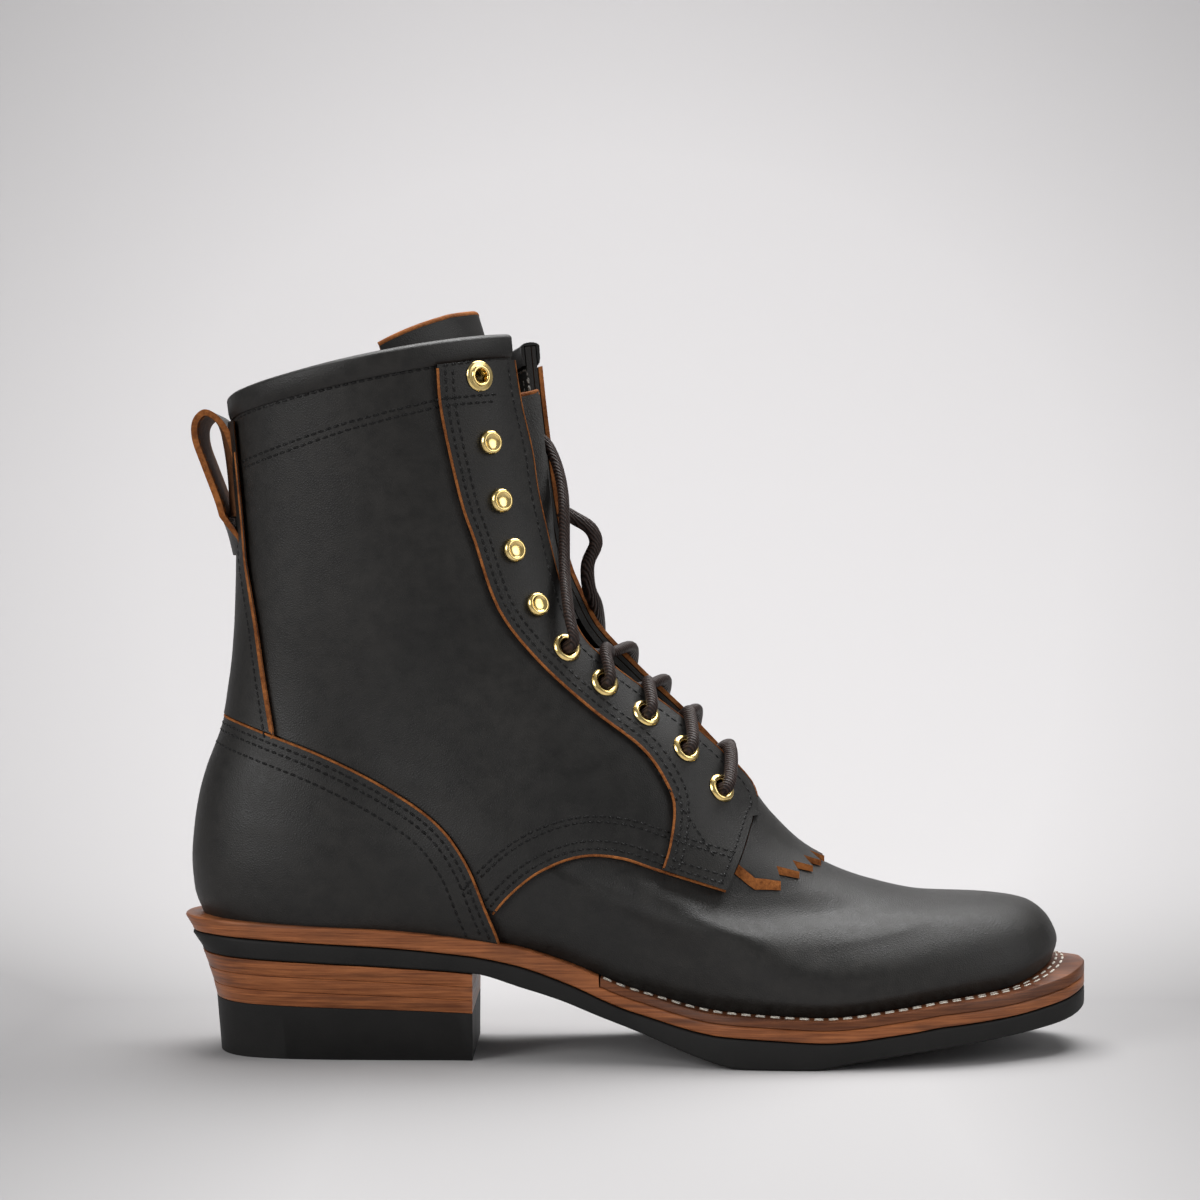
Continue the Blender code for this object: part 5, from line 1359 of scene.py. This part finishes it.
def make_lace_crossing(number):
    """Two strands that cross in the throat, through a pair of eyelets."""
    strands = [cord_rings(lace_strand(side, number), LACE_WIDTH, LACE_ROUND, LACE_FLAT) for side in SIDES]
    name = "lace_crossing_%d" % (number + 1)
    made = make_object(name + "_strands", *joined_tubes(strands), (LACE,), sharp=CORD_SHARP_ANGLE)
    dress(made, "lace", name)


def make_lace_end(side, route):
    """Loose end of the lace out of the last eyelet, made as a cord."""
    name = "lace_end_" + SIDE_NAMES[side]
    x, z, _ = eyelet_places(side)[LACE_CROSSINGS]
    _, point, normal = seat(x, z, side)
    path = spline([point - normal * LACE_START, point + normal * LACE_END_RISE] + list(route), 4)
    rings = cord_rings(path, LACE_WIDTH, LACE_ROUND, LACE_FLAT)
    made = tube_object(name + "_cord", rings, (LACE,), sharp=CORD_SHARP_ANGLE)
    dress(made, "lace", name)


# Seams

# Spacing of the points along a seam, first when it is moved sideways, then when it is laid on the panels
SEAM_SPACING = 2.0
SEAM_STEP = 0.6
VIEW_DISTANCE = 200.0

# Where the seams along the counter, backstay, eyestay and collar run
COUNTER_SEAM_BACK_X = 8.0
BACKSTAY_SEAM_Z = (107.0, 205.0)
EYESTAY_SEAM_DROP = 1.0
COLLAR_SEAM_X = np.linspace(20.0, 108.0, 40)
COLLAR_SEAM_DROP = 0.9


def panel_tree(*panels):
    """Search tree of the faces of some pieces."""
    points = []
    faces = []
    for panel in panels:
        start = len(points)
        points += [tuple(v.co) for v in panel.data.vertices]
        faces += [[start + i for i in polygon.vertices] for polygon in panel.data.polygons]
    return BVHTree.FromPolygons(points, faces)


def resampled(line, spacing):
    """Points at even spacing along a line of points."""
    line = np.asarray(line, float)
    lengths = lengths_along(line)
    count = max(2, int(lengths[-1] / spacing) + 1)
    return at_lengths(np.linspace(0, lengths[-1], count), lengths, line)


def beside(line, distance):
    """A side-view line moved to its left by a distance."""
    line = resampled(line, SEAM_SPACING)
    return line + distance * left_of(line)


def on_panels(line, side, tree, inside=False):
    """Runs of points and normals where a side-view line falls on one side's panels, from out or inside."""
    runs = [[]]
    from_y = 0.0 if inside else side * VIEW_DISTANCE
    facing = -side if inside else side
    for x, z in resampled(line, SEAM_STEP):
        start = Vector(to_frame((x, from_y, z)))
        place, normal, _, _ = tree.ray_cast(start, Vector((0.0, -facing, 0.0)), VIEW_DISTANCE / 1000.0)
        if place is None:
            if runs[-1]:
                runs.append([])
            continue
        if normal.y * facing < 0:
            normal = -normal
        runs[-1].append((np.array(place) * 1000.0 + ORIGIN, np.array(normal)))
    return [[np.array(rows) for rows in zip(*run)] for run in runs if len(run) > 3]


class Collector:
    """Gathers small pieces of one material into one mesh."""

    def __init__(self, name, look, slot):
        self.name = name
        self.look = look
        self.slot = slot
        self.tubes = []

    def add(self, rings):
        self.tubes.append(rings)

    def finish(self):
        made = make_object(self.name, *joined_tubes(self.tubes), (self.look,), sharp=THREAD_SHARP_ANGLE)
        return dress(made, self.slot)


STITCH_LENGTH = 2.1
STITCH_PITCH = 2.75
STITCH_HALF_WIDTH = 0.48
STITCH_HEIGHT = 0.26
STITCH_RINGS = ((-0.5, 0.2), (-0.38, 0.8), (0.0, 1.0), (0.38, 0.8), (0.5, 0.2))
STITCH_ENDS = np.array((-0.5, 0.5))
STITCH_SIDES = 6
RIBBON_HEIGHT = 0.22
RIBBON_PROFILE = ((-0.5, -0.5), (-0.42, 0.5 * RIBBON_HEIGHT), (-0.15, RIBBON_HEIGHT), (0.15, RIBBON_HEIGHT),
                  (0.42, 0.5 * RIBBON_HEIGHT), (0.5, -0.5))


def add_stitches(thread, run, pitch=STITCH_PITCH, length=STITCH_LENGTH, half_width=STITCH_HALF_WIDTH):
    """Stitches along a run of points and normals."""
    points, normals = run
    lengths = lengths_along(points)
    for middle in np.arange(pitch / 2, lengths[-1] - pitch / 2, pitch):
        start, end = at_lengths(middle + STITCH_ENDS * length, lengths, points)
        normal = unit(at_lengths(middle, lengths, normals)[0])
        along = end - start
        across = unit(np.cross(normal, along))
        rings = []
        for share, size in STITCH_RINGS:
            centre = (start + end) / 2 + along * share
            ring = []
            for angle in np.linspace(0, 2 * math.pi, STITCH_SIDES, endpoint=False):
                lift = math.sin(angle) * STITCH_HEIGHT * size
                ring.append(centre + across * math.cos(angle) * half_width * size + normal * lift)
            rings.append(ring)
        thread.add(np.array(rings))


def add_ribbon(edges, run, width):
    """A rounded raw edge along a run of points and normals."""
    points, normals = run
    across = unit(np.cross(normals, unit(np.gradient(points, axis=0))))
    rows = [points + across * (share * width) + normals * lift for share, lift in RIBBON_PROFILE]
    edges.add(np.stack(rows, axis=1))


def seam_lines(side):
    """Side-view lines of one side that raw edges and rows of stitches run along."""
    low, high = BACKSTAY_SEAM_Z
    drop = BINDING_HEIGHT + EYESTAY_SEAM_DROP
    return {"eyestay_back": [p for p in spline(EYESTAY_BACK) if p[1] < collar_z(p[0], side) - drop],
            "eyestay_front": stay_edge(side),
            "throat": [p for p in stay_edge(side) if p[1] > PANEL_TURN_Z],
            "arch": spline(QUARTER_ARCH),
            "counter": [p for p in spline(COUNTER_TOP) if p[0] > COUNTER_SEAM_BACK_X],
            "backstay": [p for p in spline(BACKSTAY_EDGE) if low < p[1] < high],
            "collar": [(x, collar_z(x, side) - BINDING_HEIGHT - COLLAR_SEAM_DROP) for x in COLLAR_SEAM_X],
            "eyestay_slant": EYESTAY_SLANT,
            "shaft_facing": SHAFT_FACING}


# Raw edges, (line, distance to its left, width), and rows of stitches, (line, distance to its left)
RIBBONS = (("eyestay_back", 0.3, 0.8), ("throat", 0.25, 0.55), ("arch", 0.3, 0.85), ("counter", -0.3, 0.8),
           ("backstay", -0.75, 1.7))
STITCH_ROWS = (("eyestay_front", 2.7), ("eyestay_back", 2.6), ("eyestay_back", 5.0), ("counter", -2.6),
               ("counter", -5.0), ("counter", -9.6), ("arch", 2.5), ("arch", 5.0), ("arch", 11.2),
               ("arch", 13.0), ("backstay", -3.4), ("collar", 0.0), ("eyestay_slant", 0.0),
               ("shaft_facing", 0.0), ("shaft_facing", 2.3))


def make_seams(tree):
    """Raw edges and stitching of the panels on both sides, and of the lining on the inner side."""
    edges = Collector("raw_edges", RAW_EDGE, "brown_leather")
    thread = Collector("panel_stitching", DARK_THREAD, "lace")
    for side in SIDES:
        lines = seam_lines(side)
        for name, inset, width in RIBBONS:
            for run in on_panels(beside(lines[name], inset), side, tree):
                add_ribbon(edges, run, width)
        for name, inset in STITCH_ROWS:
            for run in on_panels(beside(lines[name], inset), side, tree):
                add_stitches(thread, run)
    edges.finish()
    thread.finish()
    lining = Collector("lining_stitching", GREY_THREAD, "lace")
    for line in LINING_SEAMS:
        for run in on_panels(line, 1, tree, inside=True):
            add_stitches(lining, run)
    lining.finish()


# Rows of stitches on the welt: distance from the upper's wall, and the largest share of the welt's width
WELT_STITCH_ROWS = ((1.3, 0.8), (3.4, 0.9))
WELT_STITCH_LIFT = 0.05
WELT_STITCH_PITCH = 4.8
WELT_STITCH_LENGTH = 3.2
WELT_STITCH_HALF_WIDTH = 0.45


def make_welt_stitching():
    """Two rows of pale stitches on the welt, from the waist round the toe."""
    thread = Collector("welt_stitching", PALE_THREAD, "lace")
    outer, inner = welt_edges()
    reach = np.linalg.norm(outer - inner, axis=1, keepdims=True)
    normals = np.tile((0.0, 0.0, 1.0), (len(outer), 1))
    for distance, most in WELT_STITCH_ROWS:
        share = np.minimum((WALL + SEAM_GAP + distance) / reach, most)
        line = inner + (outer - inner) * share + np.array((0.0, 0.0, WELT_STITCH_LIFT))
        add_stitches(thread, (line, normals), WELT_STITCH_PITCH, WELT_STITCH_LENGTH, WELT_STITCH_HALF_WIDTH)
    thread.finish()


# Stage

CAMERA_DISTANCE = 0.9
CAMERA_HEIGHT = 0.1535
CAMERA_X = -0.0126
CAMERA_LENS = 78.27
SENSOR = 36.0


def make_camera():
    """Camera at the photo's place: level, square on to the outer side."""
    data = bpy.data.cameras.new("camera")
    data.lens = CAMERA_LENS
    data.sensor_width = SENSOR
    data.clip_start = 0.01
    made = new_object("camera", data)
    made.location = (CAMERA_X, -CAMERA_DISTANCE + float(to_frame((0, 0, 0))[1]), CAMERA_HEIGHT)
    made.rotation_euler = (math.radians(90), 0.0, 0.0)
    bpy.context.scene.camera = made
    bpy.context.scene.view_settings.view_transform = "Standard"


# Colours of the paper: the floor's is darker than the backdrop's as painted shade, and the shade colours are
# painted shade
FLOOR_COLOUR = (0.475, 0.465, 0.467)
FLOOR_SHADE = (0.29, 0.283, 0.285)
BACKDROP_COLOUR = (0.505, 0.493, 0.497)
BACKDROP_SHADE = (0.39, 0.381, 0.384)
FLOOR_FRONT_Y = -3.0
BEND_Y = 0.6
BEND_RADIUS = 0.9
BACKDROP_HEIGHT = 4.0
BACKDROP_HALF_WIDTH = 5.0

# Where painted shade darkens the paper, in metres: from the floor back to the wall, out to the sides and up
# the wall.
# SHADE_FADE is where the painted shade starts and ends, as shares of that reach
SHADE_FAR_Y = (0.1, 1.2)
SHADE_HALF_WIDTH = (0.18, 0.75)
SHADE_Z = (0.25, 0.85)
SHADE_FADE = (0.5, 1.2)


def make_floor():
    """Pale floor that curves up into a backdrop, with shade painted into its colour: darker on the floor than
    on the wall, and darker out to the sides and up the wall.
    """
    made, tree, shader, where = new_material("backdrop_paper_painted_shade")
    axes = node(tree, "SeparateXYZ", {"Vector": where}).outputs
    far = ranged(tree, axes["Y"], 0.0, 1.0, *SHADE_FAR_Y)
    spread = ranged(tree, far, *SHADE_HALF_WIDTH, 0.0, 1.0)
    beside_share = calculated(tree, "DIVIDE", calculated(tree, "ABSOLUTE", axes["X"]), spread)
    above_share = ranged(tree, axes["Z"], 0.0, 1.0, *SHADE_Z)
    flat = node(tree, "CombineXYZ", {"X": beside_share, "Y": above_share}).outputs["Vector"]
    share = node(tree, "VectorMath", {0: flat}, operation="LENGTH").outputs["Value"]
    paper = mixed(tree, far, FLOOR_COLOUR, BACKDROP_COLOUR)
    shade = mixed(tree, far, FLOOR_SHADE, BACKDROP_SHADE)
    colour = mixed(tree, ranged(tree, share, 0.0, 1.0, *SHADE_FADE), paper, shade)
    join(tree, shader, Base_Color=colour, Roughness=0.9, Specular_IOR_Level=0.1)
    line = [(FLOOR_FRONT_Y, 0.0), (-1.0, 0.0), (BEND_Y, 0.0)]
    line += [(BEND_Y + BEND_RADIUS * math.sin(a), BEND_RADIUS * (1 - math.cos(a)))
             for a in np.linspace(0.1, math.pi / 2, 16)]
    line += [(BEND_Y + BEND_RADIUS, BACKDROP_HEIGHT)]
    points = [(x, y, z) for y, z in line for x in (-BACKDROP_HALF_WIDTH, BACKDROP_HALF_WIDTH)]
    faces = [(2 * i, 2 * i + 1, 2 * i + 3, 2 * i + 2) for i in range(len(line) - 1)]
    mesh = bpy.data.meshes.new("backdrop")
    mesh.from_pydata(points, [], faces)
    mesh.materials.append(made)
    mesh.shade_smooth()
    new_object("backdrop", mesh)


# Soft boxes, all aimed at the boot: name, place in metres, width and height, power in watts
LIGHT_AIM = Vector((0.0, 0.0, 0.12))
LIGHTS = (("light_top", (0.2, 0.45, 1.6), (1.6, 1.2), 44.0),
          ("light_front_left", (-1.4, -1.3, 0.9), (1.1, 1.1), 20.0),
          ("light_right", (1.5, -0.7, 0.8), (0.8, 1.2), 7.0))
ROOM_COLOUR = (0.93, 0.94, 0.95, 1.0)
ROOM_STRENGTH = 0.25


def make_lights():
    """Soft studio light: boxes above, at the front left and at the right, and a pale room."""
    for name, place, size, power in LIGHTS:
        data = bpy.data.lights.new(name, "AREA")
        data.shape = "RECTANGLE"
        data.size, data.size_y = size
        data.energy = power
        made = new_object(name, data)
        made.location = place
        made.rotation_euler = (LIGHT_AIM - Vector(place)).to_track_quat("-Z", "Y").to_euler()
    world = bpy.data.worlds.new("room")
    bpy.context.scene.world = world
    world.use_nodes = True
    background = world.node_tree.nodes["Background"]
    background.inputs["Color"].default_value = ROOM_COLOUR
    background.inputs["Strength"].default_value = ROOM_STRENGTH


def main():
    """Makes all the pieces and the stage."""
    make_camera()
    make_lace_end(-1, LACE_END_LATERAL)
    make_lace_end(1, LACE_END_MEDIAL)
    panels = [make_upper(), make_counter(), make_backstay(), make_binding()]
    for side in SIDES:
        panels += [make_quarter(side), make_eyestay(side)]
    make_seams(panel_tree(*panels))
    make_kiltie()
    make_tongue()
    make_pull_loop()
    for side in SIDES:
        make_gusset(side)
        make_hardware(side)
    for number in range(LACE_CROSSINGS):
        make_lace_crossing(number)
    make_sole()
    make_welt()
    make_welt_stitching()
    make_heel()
    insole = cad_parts["insole"]
    insole.data.materials.clear()
    insole.data.materials.append(LINING)
    remove_cutters()
    make_floor()
    make_lights()


main()
